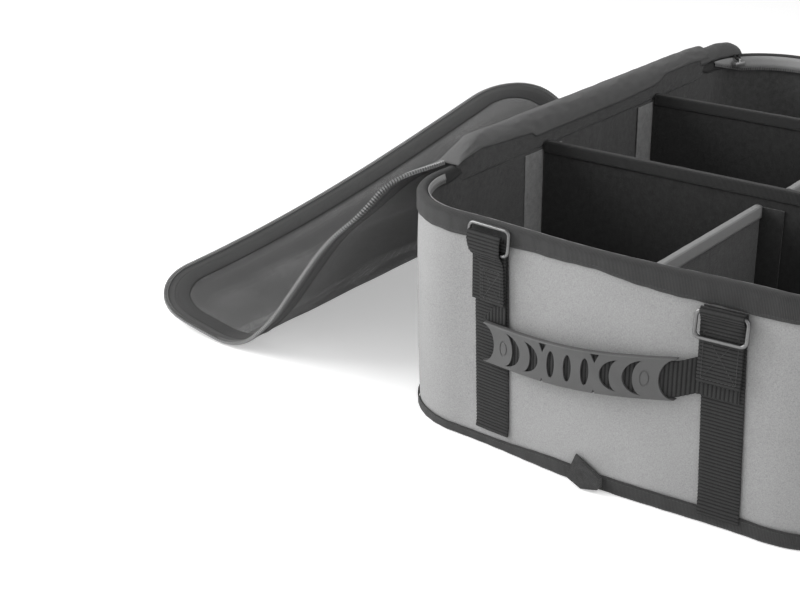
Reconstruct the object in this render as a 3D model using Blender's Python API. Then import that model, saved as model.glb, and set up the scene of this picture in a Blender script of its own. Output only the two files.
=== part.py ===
"""Folding storage box for a car boot: fabric walls, felt dividers, webbing handles and a zipped mesh lid.

The origin is the centre of the box's underside. +X runs along the short handle wall, +Y runs
from the front handle wall to the rear one, and +Z is up. The lid is open and hangs from the
left long wall (-X) down to the ground.
"""
import math

import bmesh
import bpy
from mathutils import Matrix, Vector

# Overall size of the box, in metres
LENGTH = 0.750
WIDTH = 0.500
HEIGHT = 0.230
CORNER_RADIUS = 0.088
END_WALL_BOW = 0.009

# Layers of the wall and the floor
SHELL_THICKNESS = 0.0020
STIFFENER_THICKNESS = 0.0030
LINING_THICKNESS = 0.0022
BASE_PANEL_THICKNESS = 0.0020
BASE_BOARD_THICKNESS = 0.0040
BINDING_THICKNESS = 0.0014
RIM_BAND_OUTSIDE = 0.0190
RIM_BAND_INSIDE = 0.0140
BASE_BAND_HEIGHT = 0.0150
LAYER_GAP = 0.0003
BASE_BAND_LIFT = 0.0010

# Zip
TAPE_THICKNESS = 0.0010
BOX_TAPE_HEIGHT = 0.0052
COIL_WIDTH = 0.0028
ZIP_RIM_DROP = 0.0022
LID_TAPE_WIDTH = 0.0100
SLIDER_LENGTH = 0.0150
SLIDER_WIDTH = 0.0095
SLIDER_HEIGHT = 0.0060
SLIDER_CORNER = 0.0024
SLIDER_CLEARANCE = 0.0007
SLIDER_BEARING = 150.0
PULL_PIN_RADIUS = 0.0010
PULL_WIDTH = 0.0080
PULL_LENGTH = 0.0260
PULL_CORD = 0.0024
PULL_REST_ANGLE = 37.0

# Lid, measured flat before it hangs
LID_WIDTH = 0.484
LID_LENGTH = 0.744
LID_HINGE_CORNER = 0.105
LID_OUTER_CORNER = 0.088
LID_THICKNESS = 0.0022
LID_MESH_THICKNESS = 0.0014
LID_BORDER_WIDTH = 0.018
HINGE_STRIP_THICKNESS = 0.0022
HINGE_STRIP_OVERHANG = 0.0050
HINGE_STRIP_SKIRT = 0.0130
HINGE_LIFT = 0.0020
LID_NEAR_FLARE = 0.004
LID_DROOP_POWER = 1.83

# How steeply the hanging lid runs down, in degrees, at these shares of its flat width
LID_STATIONS = (0.0, 0.07, 0.15, 0.30, 0.44, 0.58, 0.72, 0.86, 1.0)
LID_NEAR_SLOPES = (5, 67, 43, 53, 53, 41, -8, -10, -17)
LID_FAR_SLOPES = (5, 84, 84, 57, 20, -14, -34, -34, -10)

# Webbing straps and wire rings on the handle walls
STRAP_SPACING = 0.2350
STRAP_WIDTH = 0.0400
WEBBING_THICKNESS = 0.0014
STRAP_BOTTOM = 0.0180
STRAP_DROP = 0.0240
LEFT_STRAP_LEAN = 0.0045
RIGHT_STRAP_LEAN = 0.0050
WALL_GAP = 0.0006
LOOP_SLAB_THICKNESS = 0.0026
RING_WIRE = 0.0032
RING_WIRE_CLEARANCE = 0.0005
RING_INSIDE_WIDTH = 0.0460
RING_REACH = 0.0240
RING_CORNER = 0.0055
EYE_DROP = 0.0030
EYE_NECK_DROP = 0.0056
EYE_NECK_RUN = 0.0035
LEFT_LOOP_END = 0.1520
RIGHT_LOOP_END = 0.1370
RING_STANDING_ANGLE = -6.0
RING_HANGING_ANGLE = 174.0

# Carry handle
HANDLE_WEBBING_WIDTH = 0.0350
HANDLE_BOW = 0.0125
HANDLE_SAG = 0.0037
HANDLE_END_OFFSET = 0.0062
HANDLE_ANCHOR_Z = 0.1410
HANDLE_LEFT_Z = 0.1127
HANDLE_RIGHT_Z = 0.1339
HANDLE_LEFT_DROP = 0.0020
HANDLE_STEP_DOWN = 0.0010
HANDLE_TAIL_BOTTOM = 0.1345
HANDLE_TAIL_TOP = 0.1570
HANDLE_TAIL_RUN = 0.0500
HANDLE_TAIL_SLANT = 0.0120
GRIP_LENGTH = 0.2032
GRIP_SHIFT = -0.0199
GRIP_HEIGHT = 0.0400
GRIP_THICKNESS = 0.0064
GRIP_SLOT_CLEARANCE = 0.0005
GRIP_MOUTH_DEPTH = 0.0150
GRIP_MOUTH_HALF = 0.0192
GRIP_OVAL_SPACING = 0.0181
GRIP_OVAL_WIDTH = 0.0085
GRIP_OVAL_HEIGHT = 0.0260
# Crescents: distance of the tips from the grip's middle, bulge, half height and width
GRIP_CRESCENTS = ((0.0505, 0.0180, 0.0150, 0.0095), (0.0733, 0.0193, 0.0165, 0.0095))

# Dividers
DIVIDER_THICKNESS = 0.0055
DIVIDER_BINDING_THICKNESS = 0.0085
DIVIDER_BINDING_HEIGHT = 0.0120
CROSS_DIVIDER_DROP = 0.0115
FRONT_CROSS_DIVIDER_Y = -0.1050
REAR_CROSS_DIVIDER_Y = 0.1350
FRONT_SMALL_DIVIDER_DROP = 0.0310
FRONT_SMALL_DIVIDER_X = 0.0170
MIDDLE_SMALL_DIVIDER_DROP = 0.0115
MIDDLE_SMALL_DIVIDER_X = 0.0430
TAB_THICKNESS = 0.0015
TAB_HALF_WIDTH = 0.0360
SMALL_TAB_WIDTH = 0.0270
TAB_DROP = 0.0065
FIT_GAP = 0.0005

# Fabric tab at the foot of the front wall
BASE_TAB_WIDTH = 0.0340
BASE_TAB_HEIGHT = 0.0300
BASE_TAB_THICKNESS = 0.0016
BASE_TAB_X = -0.0030
BASE_TAB_APEX_SHIFT = -0.0110
BASE_TAB_LEAN = 0.0090

# Faceting
CORNER_STEPS = 9
END_WALL_STEPS = 10
LID_SIDE_STEPS = 14
LID_CORNER_STEPS = 6
LID_COLUMNS = 10
PROFILE_SAMPLES = 64
GRIP_COLUMNS = 13
HANDLE_COLUMNS = 32

# Derived positions
STIFFENER_OUTSIDE = SHELL_THICKNESS + LAYER_GAP
LINING_OUTSIDE = STIFFENER_OUTSIDE + STIFFENER_THICKNESS + LAYER_GAP
LINING_INSIDE = LINING_OUTSIDE + LINING_THICKNESS
RIM_INSIDE = LINING_INSIDE + LAYER_GAP + BINDING_THICKNESS
WALL_BOTTOM = BASE_PANEL_THICKNESS + LAYER_GAP
WALL_TOP = HEIGHT - BINDING_THICKNESS - LAYER_GAP
BOARD_BOTTOM = WALL_BOTTOM
FLOOR_LINING_BOTTOM = BOARD_BOTTOM + BASE_BOARD_THICKNESS + LAYER_GAP
FLOOR_TOP = FLOOR_LINING_BOTTOM + LINING_THICKNESS
HINGE_X = -WIDTH / 2 - HINGE_STRIP_OVERHANG
HINGE_Z = HEIGHT + HINGE_LIFT
HINGE_HALF_LENGTH = LID_LENGTH / 2 - LID_HINGE_CORNER
HINGE_PIVOT = (HINGE_X, 0.0, HINGE_Z + COIL_WIDTH / 2)
HANDLE_LAYER = WALL_GAP + WEBBING_THICKNESS + LAYER_GAP
LOOP_LAYER = HANDLE_LAYER + WEBBING_THICKNESS + 2 * LAYER_GAP
EYE_INNER = RING_WIRE / 2 + RING_WIRE_CLEARANCE
EYE_OUTER = EYE_INNER + WEBBING_THICKNESS
EYE_OFFSET = LOOP_LAYER + EYE_OUTER
STRAP_TOP = HEIGHT - STRAP_DROP
EYE_Z = STRAP_TOP - EYE_DROP
CROSS_DIVIDER_TOP = HEIGHT - CROSS_DIVIDER_DROP
FRONT_SMALL_DIVIDER_TOP = HEIGHT - FRONT_SMALL_DIVIDER_DROP
MIDDLE_SMALL_DIVIDER_TOP = HEIGHT - MIDDLE_SMALL_DIVIDER_DROP


def clear_scene():
    for obj in list(bpy.data.objects):
        bpy.data.objects.remove(obj, do_unlink=True)


def make_material(name, colour, roughness, metallic=0.0):
    material = bpy.data.materials.new(name)
    material.use_nodes = True
    shader = material.node_tree.nodes["Principled BSDF"]
    shader.inputs["Base Color"].default_value = (*colour, 1.0)
    shader.inputs["Roughness"].default_value = roughness
    shader.inputs["Metallic"].default_value = metallic
    return material


def finish(name, bm, material, origin=(0.0, 0.0, 0.0), turn_faces=True):
    """Make an object from a bmesh built in world space, with its origin at the given point."""
    if turn_faces:
        bmesh.ops.recalc_face_normals(bm, faces=bm.faces)
    bmesh.ops.translate(bm, verts=bm.verts, vec=-Vector(origin))
    mesh = bpy.data.meshes.new(name)
    bm.to_mesh(mesh)
    bm.free()
    mesh.materials.append(material)
    mesh.shade_smooth()
    mesh.set_sharp_from_angle(angle=math.radians(30))
    obj = bpy.data.objects.new(name, mesh)
    obj.location = origin
    bpy.context.collection.objects.link(obj)
    return obj


def end_bow(x):
    """How far the end wall swells outwards at x."""
    flat_half = WIDTH / 2 - CORNER_RADIUS
    if abs(x) >= flat_half:
        return 0.0
    share = (x + flat_half) / (2 * flat_half)
    return END_WALL_BOW * (1 - math.cos(2 * math.pi * share)) / 2


def wall_y(x, offset):
    """Y of a point that stands the given offset outside the front wall."""
    return -LENGTH / 2 - end_bow(x) - offset


def plan(inset):
    """The box's plan inset from its outer face, from the left wall round the front to the left wall again."""
    centre_x = WIDTH / 2 - CORNER_RADIUS
    centre_y = LENGTH / 2 - CORNER_RADIUS
    radius = CORNER_RADIUS - inset
    points = []

    def corner(side_x, side_y, start_angle):
        for step in range(CORNER_STEPS + 1):
            angle = math.radians(start_angle + 90 * step / CORNER_STEPS)
            x = side_x * centre_x + radius * math.cos(angle)
            points.append((x, side_y * centre_y + radius * math.sin(angle)))

    def end_wall(side_y):
        for step in range(1, END_WALL_STEPS):
            x = side_y * centre_x * (1 - 2 * step / END_WALL_STEPS)
            points.append((x, side_y * (LENGTH / 2 - inset + end_bow(x))))

    corner(-1, -1, 180)
    end_wall(-1)
    corner(1, -1, 270)
    corner(1, 1, 0)
    end_wall(1)
    corner(-1, 1, 90)
    return points


def sweep(name, section, material, closed=True):
    """Run a closed section of (inset, z) points round the plan."""
    bm = bmesh.new()
    columns = [[(x, y, z) for x, y in plan(inset)] for inset, z in section]
    rows = [[bm.verts.new(column[i]) for column in columns] for i in range(len(columns[0]))]
    spans = len(rows) if closed else len(rows) - 1
    count = len(section)
    for i in range(spans):
        here = rows[i]
        there = rows[(i + 1) % len(rows)]
        for k in range(count):
            j = (k + 1) % count
            bm.faces.new((here[k], here[j], there[j], there[k]))
    if not closed:
        bm.faces.new(rows[0])
        bm.faces.new(rows[-1])
    return finish(name, bm, material)


def plate(name, inset, bottom, thickness, material):
    """A flat sheet with the plan's outline."""
    bm = bmesh.new()
    face = bm.faces.new([bm.verts.new((x, y, bottom)) for x, y in plan(inset)])
    raised = bmesh.ops.extrude_face_region(bm, geom=[face])
    verts = [item for item in raised["geom"] if isinstance(item, bmesh.types.BMVert)]
    bmesh.ops.translate(bm, verts=verts, vec=(0, 0, thickness))
    bmesh.ops.triangulate(bm, faces=[f for f in bm.faces if len(f.verts) > 4])
    return finish(name, bm, material)


def slab(bm, low, high):
    """Add a box between two corners."""
    centre = [(a + b) / 2 for a, b in zip(low, high)]
    size = [b - a for a, b in zip(low, high)]
    matrix = Matrix.Translation(centre) @ Matrix.Diagonal((*size, 1.0))
    bmesh.ops.create_cube(bm, size=1.0, matrix=matrix)


def block(name, low, high, material):
    bm = bmesh.new()
    slab(bm, low, high)
    return finish(name, bm, material)


def prism(bm, outline, low, high, axis):
    """Extrude an outline of 2-D points between two levels of an axis, given as 0 for X or 1 for Y."""

    def place(point, level):
        if axis == 0:
            return (level, point[0], point[1])
        return (point[0], level, point[1])

    bottom = [bm.verts.new(place(point, low)) for point in outline]
    top = [bm.verts.new(place(point, high)) for point in outline]
    bm.faces.new(bottom)
    bm.faces.new(list(reversed(top)))
    for i in range(len(outline)):
        j = (i + 1) % len(outline)
        bm.faces.new((bottom[i], bottom[j], top[j], top[i]))


def make_walls(materials):
    plate("base_panel", 0.0, 0.0, BASE_PANEL_THICKNESS, materials["wall_fabric"])
    board_inset = LINING_INSIDE + FIT_GAP
    plate("base_board", board_inset, BOARD_BOTTOM, BASE_BOARD_THICKNESS, materials["board"])
    plate("base_lining", board_inset, FLOOR_LINING_BOTTOM, LINING_THICKNESS, materials["felt"])
    layers = (
        ("wall_shell", 0.0, SHELL_THICKNESS, "wall_fabric"),
        ("wall_stiffener", STIFFENER_OUTSIDE, STIFFENER_OUTSIDE + STIFFENER_THICKNESS, "board"),
        ("wall_lining", LINING_OUTSIDE, LINING_INSIDE, "felt"),
    )
    for name, outside, inside, slot in layers:
        section = [(outside, WALL_BOTTOM), (outside, WALL_TOP), (inside, WALL_TOP), (inside, WALL_BOTTOM)]
        sweep(name, section, materials[slot])
    outer = -LAYER_GAP - BINDING_THICKNESS
    rim = [
        (outer, HEIGHT - RIM_BAND_OUTSIDE),
        (outer, HEIGHT - BINDING_THICKNESS / 2),
        (outer + BINDING_THICKNESS / 2, HEIGHT),
        (RIM_INSIDE - BINDING_THICKNESS / 2, HEIGHT),
        (RIM_INSIDE, HEIGHT - BINDING_THICKNESS / 2),
        (RIM_INSIDE, HEIGHT - RIM_BAND_INSIDE),
        (LINING_INSIDE + LAYER_GAP, HEIGHT - RIM_BAND_INSIDE),
        (LINING_INSIDE + LAYER_GAP, HEIGHT - BINDING_THICKNESS),
        (-LAYER_GAP, HEIGHT - BINDING_THICKNESS),
        (-LAYER_GAP, HEIGHT - RIM_BAND_OUTSIDE),
    ]
    sweep("rim_binding", rim, materials["binding"])
    base = [
        (outer, BASE_BAND_LIFT),
        (outer, BASE_BAND_LIFT + BASE_BAND_HEIGHT),
        (-LAYER_GAP, BASE_BAND_LIFT + BASE_BAND_HEIGHT),
        (-LAYER_GAP, BASE_BAND_LIFT),
    ]
    sweep("base_binding", base, materials["binding"])


def make_box_zip(materials):
    """Tape and coil inside the rim, round the front, the right and the rear."""
    outside = RIM_INSIDE + LAYER_GAP
    top = HEIGHT - ZIP_RIM_DROP
    tape = [
        (outside, top),
        (outside + TAPE_THICKNESS, top),
        (outside + TAPE_THICKNESS, top - BOX_TAPE_HEIGHT),
        (outside, top - BOX_TAPE_HEIGHT),
    ]
    sweep("box_zip_tape", tape, materials["zip_tape"], closed=False)
    coil_top = top - BOX_TAPE_HEIGHT - LAYER_GAP
    middle = outside + COIL_WIDTH / 2
    coil_middle = coil_top - COIL_WIDTH / 2
    coil = []
    for step in range(6):
        angle = 2 * math.pi * step / 6
        coil.append((middle - COIL_WIDTH / 2 * math.cos(angle), coil_middle + COIL_WIDTH / 2 * math.sin(angle)))
    sweep("box_zip_coil", coil, materials["zip_coil"], closed=False)


def lid_angle(share, droop):
    """Slope of the lid, in radians, at a share of its width and a share of its length."""
    for i in range(1, len(LID_STATIONS)):
        if share <= LID_STATIONS[i] or i == len(LID_STATIONS) - 1:
            break
    start = LID_STATIONS[i - 1]
    blend = (share - start) / (LID_STATIONS[i] - start)
    near = LID_NEAR_SLOPES[i - 1] + (LID_NEAR_SLOPES[i] - LID_NEAR_SLOPES[i - 1]) * blend
    far = LID_FAR_SLOPES[i - 1] + (LID_FAR_SLOPES[i] - LID_FAR_SLOPES[i - 1]) * blend
    return math.radians(near + (far - near) * droop)


def lid_point(across, along, lift=0.0):
    """Place a flat point of the lid: across is measured from the hinge, along from the middle."""
    far_share = min(max(along / LID_LENGTH + 0.5, 0.0), 1.0)
    droop = far_share ** LID_DROOP_POWER
    x = HINGE_X
    z = HINGE_Z
    step = across / PROFILE_SAMPLES
    for i in range(PROFILE_SAMPLES):
        angle = lid_angle(step * (i + 0.5) / LID_WIDTH, droop)
        x -= step * math.cos(angle)
        z -= step * math.sin(angle)
    angle = lid_angle(across / LID_WIDTH, droop)
    x -= lift * math.sin(angle)
    z += lift * math.cos(angle)
    y = along + LID_NEAR_FLARE * (across / LID_WIDTH) ** 2 * (1 - far_share)
    return (x, y, z)


def lid_side(inset):
    """The near edge of the flat lid from the hinge to the outer edge, as (across, along) points."""
    points = []
    hinge_radius = LID_HINGE_CORNER - inset
    outer_radius = LID_OUTER_CORNER - inset
    half = LID_LENGTH / 2
    for step in range(LID_CORNER_STEPS + 1):
        angle = math.pi / 2 * step / LID_CORNER_STEPS
        across = LID_HINGE_CORNER - hinge_radius * math.cos(angle)
        points.append((across, -half + LID_HINGE_CORNER - hinge_radius * math.sin(angle)))
    run = LID_WIDTH - LID_HINGE_CORNER - LID_OUTER_CORNER
    for step in range(1, LID_SIDE_STEPS):
        points.append((LID_HINGE_CORNER + run * step / LID_SIDE_STEPS, -half + inset))
    for step in range(LID_CORNER_STEPS + 1):
        angle = math.pi / 2 * step / LID_CORNER_STEPS
        across = LID_WIDTH - LID_OUTER_CORNER + outer_radius * math.sin(angle)
        points.append((across, -half + LID_OUTER_CORNER - outer_radius * math.cos(angle)))
    return points


def lid_open_path(inset):
    """The lid's edge from the hinge, round the outer side, back to the hinge."""
    near = lid_side(inset)
    across, along = near[-1]
    outer = [(across, along * (1 - 2 * step / LID_COLUMNS)) for step in range(1, LID_COLUMNS)]
    far = [(a, -b) for a, b in reversed(near)]
    return near + outer + far


def lid_closed_path(inset, hinge_across):
    """The open path, closed along the hinge at the given distance from it."""
    path = lid_open_path(inset)
    reach = path[-1][1]
    closing = [(hinge_across, reach * (1 - 2 * step / LID_COLUMNS)) for step in range(1, LID_COLUMNS)]
    closing[0] = (hinge_across, reach - 2 * LAYER_GAP)
    closing[-1] = (hinge_across, -reach + 2 * LAYER_GAP)
    return path + closing


def lid_band(name, outer, inner, thickness, material, closed):
    """A flat band of the lid between two matching paths."""
    bm = bmesh.new()
    rows = []
    for a, b in zip(outer, inner):
        row = (
            lid_point(*a, thickness / 2),
            lid_point(*b, thickness / 2),
            lid_point(*b, -thickness / 2),
            lid_point(*a, -thickness / 2),
        )
        rows.append([bm.verts.new(point) for point in row])
    spans = len(rows) if closed else len(rows) - 1
    for i in range(spans):
        here = rows[i]
        there = rows[(i + 1) % len(rows)]
        for k in range(4):
            j = (k + 1) % 4
            bm.faces.new((here[k], here[j], there[j], there[k]))
    if not closed:
        bm.faces.new(rows[0])
        bm.faces.new(rows[-1])
    bmesh.ops.triangulate(bm, faces=bm.faces)
    return finish(name, bm, material, HINGE_PIVOT)


def make_lid(materials):
    """Mesh panel, fabric border, zip tape and coil, hanging open from the left wall."""
    coil_inner = COIL_WIDTH
    tape_outer = coil_inner + LAYER_GAP
    tape_inner = tape_outer + LID_TAPE_WIDTH
    border_outer = tape_inner + LAYER_GAP
    border_inner = border_outer + LID_BORDER_WIDTH
    mesh_edge = border_inner + LAYER_GAP
    coil = (lid_open_path(0.0), lid_open_path(coil_inner))
    lid_band("lid_zip_coil", *coil, COIL_WIDTH, materials["zip_coil"], False)
    tape = (lid_open_path(tape_outer), lid_open_path(tape_inner))
    lid_band("lid_zip_tape", *tape, TAPE_THICKNESS, materials["zip_tape"], False)
    border = (lid_closed_path(border_outer, LAYER_GAP), lid_closed_path(border_inner, border_inner))
    lid_band("lid_border", *border, LID_THICKNESS, materials["border_fabric"], True)

    bm = bmesh.new()
    near = lid_side(mesh_edge)
    layers = []
    for lift in (LID_MESH_THICKNESS / 2, -LID_MESH_THICKNESS / 2):
        grid = []
        for across, along in near:
            spots = [along * (1 - 2 * step / LID_COLUMNS) for step in range(LID_COLUMNS + 1)]
            grid.append([bm.verts.new(lid_point(across, spot, lift)) for spot in spots])
        layers.append(grid)
    top, bottom = layers
    for i in range(len(near) - 1):
        for j in range(LID_COLUMNS):
            bm.faces.new((top[i][j], top[i][j + 1], top[i + 1][j + 1], top[i + 1][j]))
            bm.faces.new((bottom[i][j], bottom[i + 1][j], bottom[i + 1][j + 1], bottom[i][j + 1]))
    for i in range(len(near) - 1):
        for j in (0, LID_COLUMNS):
            bm.faces.new((top[i][j], top[i + 1][j], bottom[i + 1][j], bottom[i][j]))
    for j in range(LID_COLUMNS):
        for i in (0, len(near) - 1):
            bm.faces.new((top[i][j], bottom[i][j], bottom[i][j + 1], top[i][j + 1]))
    bmesh.ops.triangulate(bm, faces=bm.faces)
    finish("lid_mesh", bm, materials["net"], HINGE_PIVOT)


def make_hinge_strip(materials):
    """A folded fabric strip over the left rim, which the lid's border is sewn to."""
    top = HINGE_Z + LID_THICKNESS / 2
    under = top - HINGE_STRIP_THICKNESS
    outer = HINGE_X + LAYER_GAP
    rim_inner = -WIDTH / 2 + RIM_INSIDE + LAYER_GAP
    inner = rim_inner + HINGE_STRIP_THICKNESS
    hem = HEIGHT - HINGE_STRIP_SKIRT
    outline = [
        (outer, under),
        (outer, top),
        (inner, top),
        (inner, hem),
        (rim_inner, hem),
        (rim_inner, under),
    ]
    bm = bmesh.new()
    prism(bm, outline, -HINGE_HALF_LENGTH, HINGE_HALF_LENGTH, 1)
    finish("hinge_strip", bm, materials["border_fabric"])


def make_slider(materials):
    """Zip slider parked at the rear end of the coil on the box, and its looped pull."""
    corner_x = -WIDTH / 2 + CORNER_RADIUS
    corner_y = LENGTH / 2 - CORNER_RADIUS
    angle = math.radians(SLIDER_BEARING)
    radius = CORNER_RADIUS - RIM_INSIDE - LAYER_GAP - COIL_WIDTH - SLIDER_CLEARANCE - SLIDER_WIDTH / 2
    centre = (corner_x + radius * math.cos(angle), corner_y + radius * math.sin(angle))
    coil_z = HEIGHT - ZIP_RIM_DROP - BOX_TAPE_HEIGHT - LAYER_GAP - COIL_WIDTH / 2
    place = Matrix.Translation((*centre, coil_z)) @ Matrix.Rotation(angle - math.pi / 2, 4, "Z")
    low = (-SLIDER_LENGTH / 2, -SLIDER_WIDTH / 2, -SLIDER_HEIGHT / 2)
    high = (SLIDER_LENGTH / 2, SLIDER_WIDTH / 2, SLIDER_HEIGHT / 2)
    bm = bmesh.new()
    slab(bm, low, high)
    edges = [e for e in bm.edges if abs(e.verts[0].co.z - e.verts[1].co.z) > SLIDER_HEIGHT / 2]
    bmesh.ops.bevel(bm, geom=edges, offset=SLIDER_CORNER, segments=2, affect="EDGES", profile=0.5)
    bail_width = PULL_WIDTH / 3
    pin_z = SLIDER_HEIGHT / 2 + PULL_CORD / 2 + LAYER_GAP
    bail_top = pin_z + PULL_CORD / 2 + LAYER_GAP + PULL_PIN_RADIUS
    foot = PULL_CORD / 2 + LAYER_GAP
    bail_outline = [
        (-foot - PULL_PIN_RADIUS, SLIDER_HEIGHT / 2 - LAYER_GAP),
        (-foot - PULL_PIN_RADIUS, bail_top),
        (foot + PULL_PIN_RADIUS, bail_top),
        (foot + PULL_PIN_RADIUS, SLIDER_HEIGHT / 2 - LAYER_GAP),
        (foot, SLIDER_HEIGHT / 2 - LAYER_GAP),
        (foot, bail_top - PULL_PIN_RADIUS),
        (-foot, bail_top - PULL_PIN_RADIUS),
        (-foot, SLIDER_HEIGHT / 2 - LAYER_GAP),
    ]
    body_object = finish("slider_body", bm, materials["wire"])
    bail = bmesh.new()
    prism(bail, bail_outline, -bail_width / 2, bail_width / 2, 0)
    bail_object = finish("slider_bail", bail, materials["wire"])
    joined = join_solids("zip_slider", body_object, bail_object, materials["wire"])
    joined.data.transform(place)

    loop = bmesh.new()
    outer_half = PULL_WIDTH / 2
    path = []
    for step in range(4):
        tilt = math.pi / 2 * step / 3
        path.append((PULL_LENGTH - outer_half + outer_half * math.sin(tilt), outer_half * math.cos(tilt)))
    path = [(0.0, outer_half)] + path + [(a, -b) for a, b in reversed(path[:-1])] + [(0.0, -outer_half)]
    rings = []
    for i, (out, side) in enumerate(path):
        before = Vector(path[(i - 1) % len(path)])
        after = Vector(path[(i + 1) % len(path)])
        heading = (after - before).normalized()
        normal = Vector((heading.y, -heading.x))
        ring = []
        for k in range(6):
            turn = 2 * math.pi * k / 6
            shift = PULL_CORD / 2 * math.cos(turn)
            reach = out + normal.x * shift
            x = side + normal.y * shift
            ring.append(loop.verts.new((x, reach, PULL_CORD / 2 * math.sin(turn))))
        rings.append(ring)
    for i in range(len(rings)):
        here = rings[i]
        there = rings[(i + 1) % len(rings)]
        for k in range(6):
            j = (k + 1) % 6
            loop.faces.new((here[k], here[j], there[j], there[k]))
    bmesh.ops.triangulate(loop, faces=loop.faces)
    pin = Matrix.Translation((0.0, 0.0, pin_z))
    lean = place @ pin @ Matrix.Rotation(math.radians(PULL_REST_ANGLE), 4, "X")
    bmesh.ops.transform(loop, matrix=lean, verts=loop.verts)
    finish("zip_pull", loop, materials["cord"], place @ Vector((0.0, 0.0, pin_z)))


def join_solids(name, first, second, material):
    """Unite two overlapping solids into one named object."""
    union = first.modifiers.new("union", "BOOLEAN")
    union.operation = "UNION"
    union.solver = "EXACT"
    union.object = second
    evaluated = first.evaluated_get(bpy.context.evaluated_depsgraph_get())
    mesh = bpy.data.meshes.new_from_object(evaluated)
    mesh.name = name
    for solid in (first, second):
        bpy.data.objects.remove(solid, do_unlink=True)
    mesh.materials.clear()
    mesh.materials.append(material)
    obj = bpy.data.objects.new(name, mesh)
    bpy.context.collection.objects.link(obj)
    return obj


def strap_frame(side, turn):
    """Local frame at a strap: X along the wall, -Y outwards, on the wall's face at ground level."""
    x = side * STRAP_SPACING / 2
    step = 0.001
    slope = (wall_y(x + step, 0.0) - wall_y(x - step, 0.0)) / (2 * step)
    place = Matrix.Translation((x, wall_y(x, 0.0), 0.0)) @ Matrix.Rotation(math.atan(slope), 4, "Z")
    return turn @ place


def eye_outline(loop_end):
    """Side view of a strap's upper layer: two pressed plies, opened round the ring's wire at the top."""
    inner_face = -LOOP_LAYER
    outer_face = -LOOP_LAYER - LOOP_SLAB_THICKNESS
    points = [(inner_face, loop_end), (inner_face, EYE_Z)]
    for step in range(1, 7):
        angle = math.pi * step / 7
        y = -EYE_OFFSET + EYE_OUTER * math.cos(angle)
        points.append((y, EYE_Z + EYE_OUTER * math.sin(angle)))
    points.append((-EYE_OFFSET - EYE_OUTER, EYE_Z))
    points.append((outer_face - LOOP_SLAB_THICKNESS / 2, EYE_Z - EYE_NECK_DROP))
    points.append((outer_face, EYE_Z - EYE_NECK_DROP - EYE_NECK_RUN))
    points.append((outer_face, loop_end))
    return points


def make_ring(name, frame, angle, material):
    """Rectangular wire ring with round corners, hinged in the strap's eye."""
    half = RING_INSIDE_WIDTH / 2 + RING_WIRE / 2
    path = []
    centres = ((half, RING_REACH, 0), (-half, RING_REACH, 90), (-half, 0.0, 180), (half, 0.0, 270))
    for x, reach, start in centres:
        corner_x = x - math.copysign(RING_CORNER, x)
        corner_z = reach - RING_CORNER if reach else RING_CORNER
        for step in range(4):
            turn = math.radians(start + 30 * step)
            path.append((corner_x + RING_CORNER * math.cos(turn), corner_z + RING_CORNER * math.sin(turn)))
    pivot = Vector((0.0, -EYE_OFFSET, EYE_Z))
    tilt = Matrix.Rotation(math.radians(angle), 4, "X")
    bm = bmesh.new()
    rings = []
    for i, (x, z) in enumerate(path):
        before = Vector(path[i - 1])
        after = Vector(path[(i + 1) % len(path)])
        heading = (after - before).normalized()
        normal = Vector((heading.y, -heading.x))
        ring = []
        for k in range(8):
            turn = math.radians(22.5 + 45 * k)
            shift = RING_WIRE / 2 * math.cos(turn)
            local = Vector((x + normal.x * shift, RING_WIRE / 2 * math.sin(turn), z + normal.y * shift))
            ring.append(bm.verts.new(frame @ (pivot + tilt @ local)))
        rings.append(ring)
    for i in range(len(rings)):
        here = rings[i]
        there = rings[(i + 1) % len(rings)]
        for k in range(8):
            j = (k + 1) % 8
            bm.faces.new((here[k], here[j], there[j], there[k]))
    bmesh.ops.triangulate(bm, faces=bm.faces)
    finish(name, bm, material, frame @ pivot)


def make_straps(end, turn, standing, materials):
    """Two vertical straps with their looped upper layers and rings on one handle wall."""
    sides = (
        (-1, "left", LEFT_LOOP_END, LEFT_STRAP_LEAN),
        (1, "right", RIGHT_LOOP_END, RIGHT_STRAP_LEAN),
    )
    for side, side_name, loop_end, lean in sides:
        frame = strap_frame(side, turn)
        half = STRAP_WIDTH / 2
        bm = bmesh.new()
        slab(bm, (-half, -WALL_GAP - WEBBING_THICKNESS, STRAP_BOTTOM), (half, -WALL_GAP, STRAP_TOP))
        for vert in bm.verts:
            vert.co.x += lean * (STRAP_TOP - vert.co.z) / (STRAP_TOP - STRAP_BOTTOM)
        bmesh.ops.transform(bm, matrix=frame, verts=bm.verts)
        finish(f"{end}_strap_{side_name}", bm, materials["webbing"])

        bm = bmesh.new()
        prism(bm, eye_outline(loop_end), -half, half, 0)
        loop = finish(f"{end}_loop_{side_name}", bm, materials["webbing"])
        hole = bmesh.new()
        spin = Matrix.Translation((0.0, -EYE_OFFSET, EYE_Z)) @ Matrix.Rotation(math.pi / 2, 4, "Y")
        bmesh.ops.create_cone(
            hole, cap_ends=True, segments=12, radius1=EYE_INNER, radius2=EYE_INNER,
            depth=2 * STRAP_WIDTH, matrix=spin,
        )
        cutter = finish(f"{end}_eye_cutter_{side_name}", hole, materials["webbing"])
        cut_hole(loop, cutter)
        loop.matrix_world = frame
        angle = RING_STANDING_ANGLE if side_name == standing else RING_HANGING_ANGLE
        make_ring(f"{end}_ring_{side_name}", frame, angle, materials["wire"])


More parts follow.
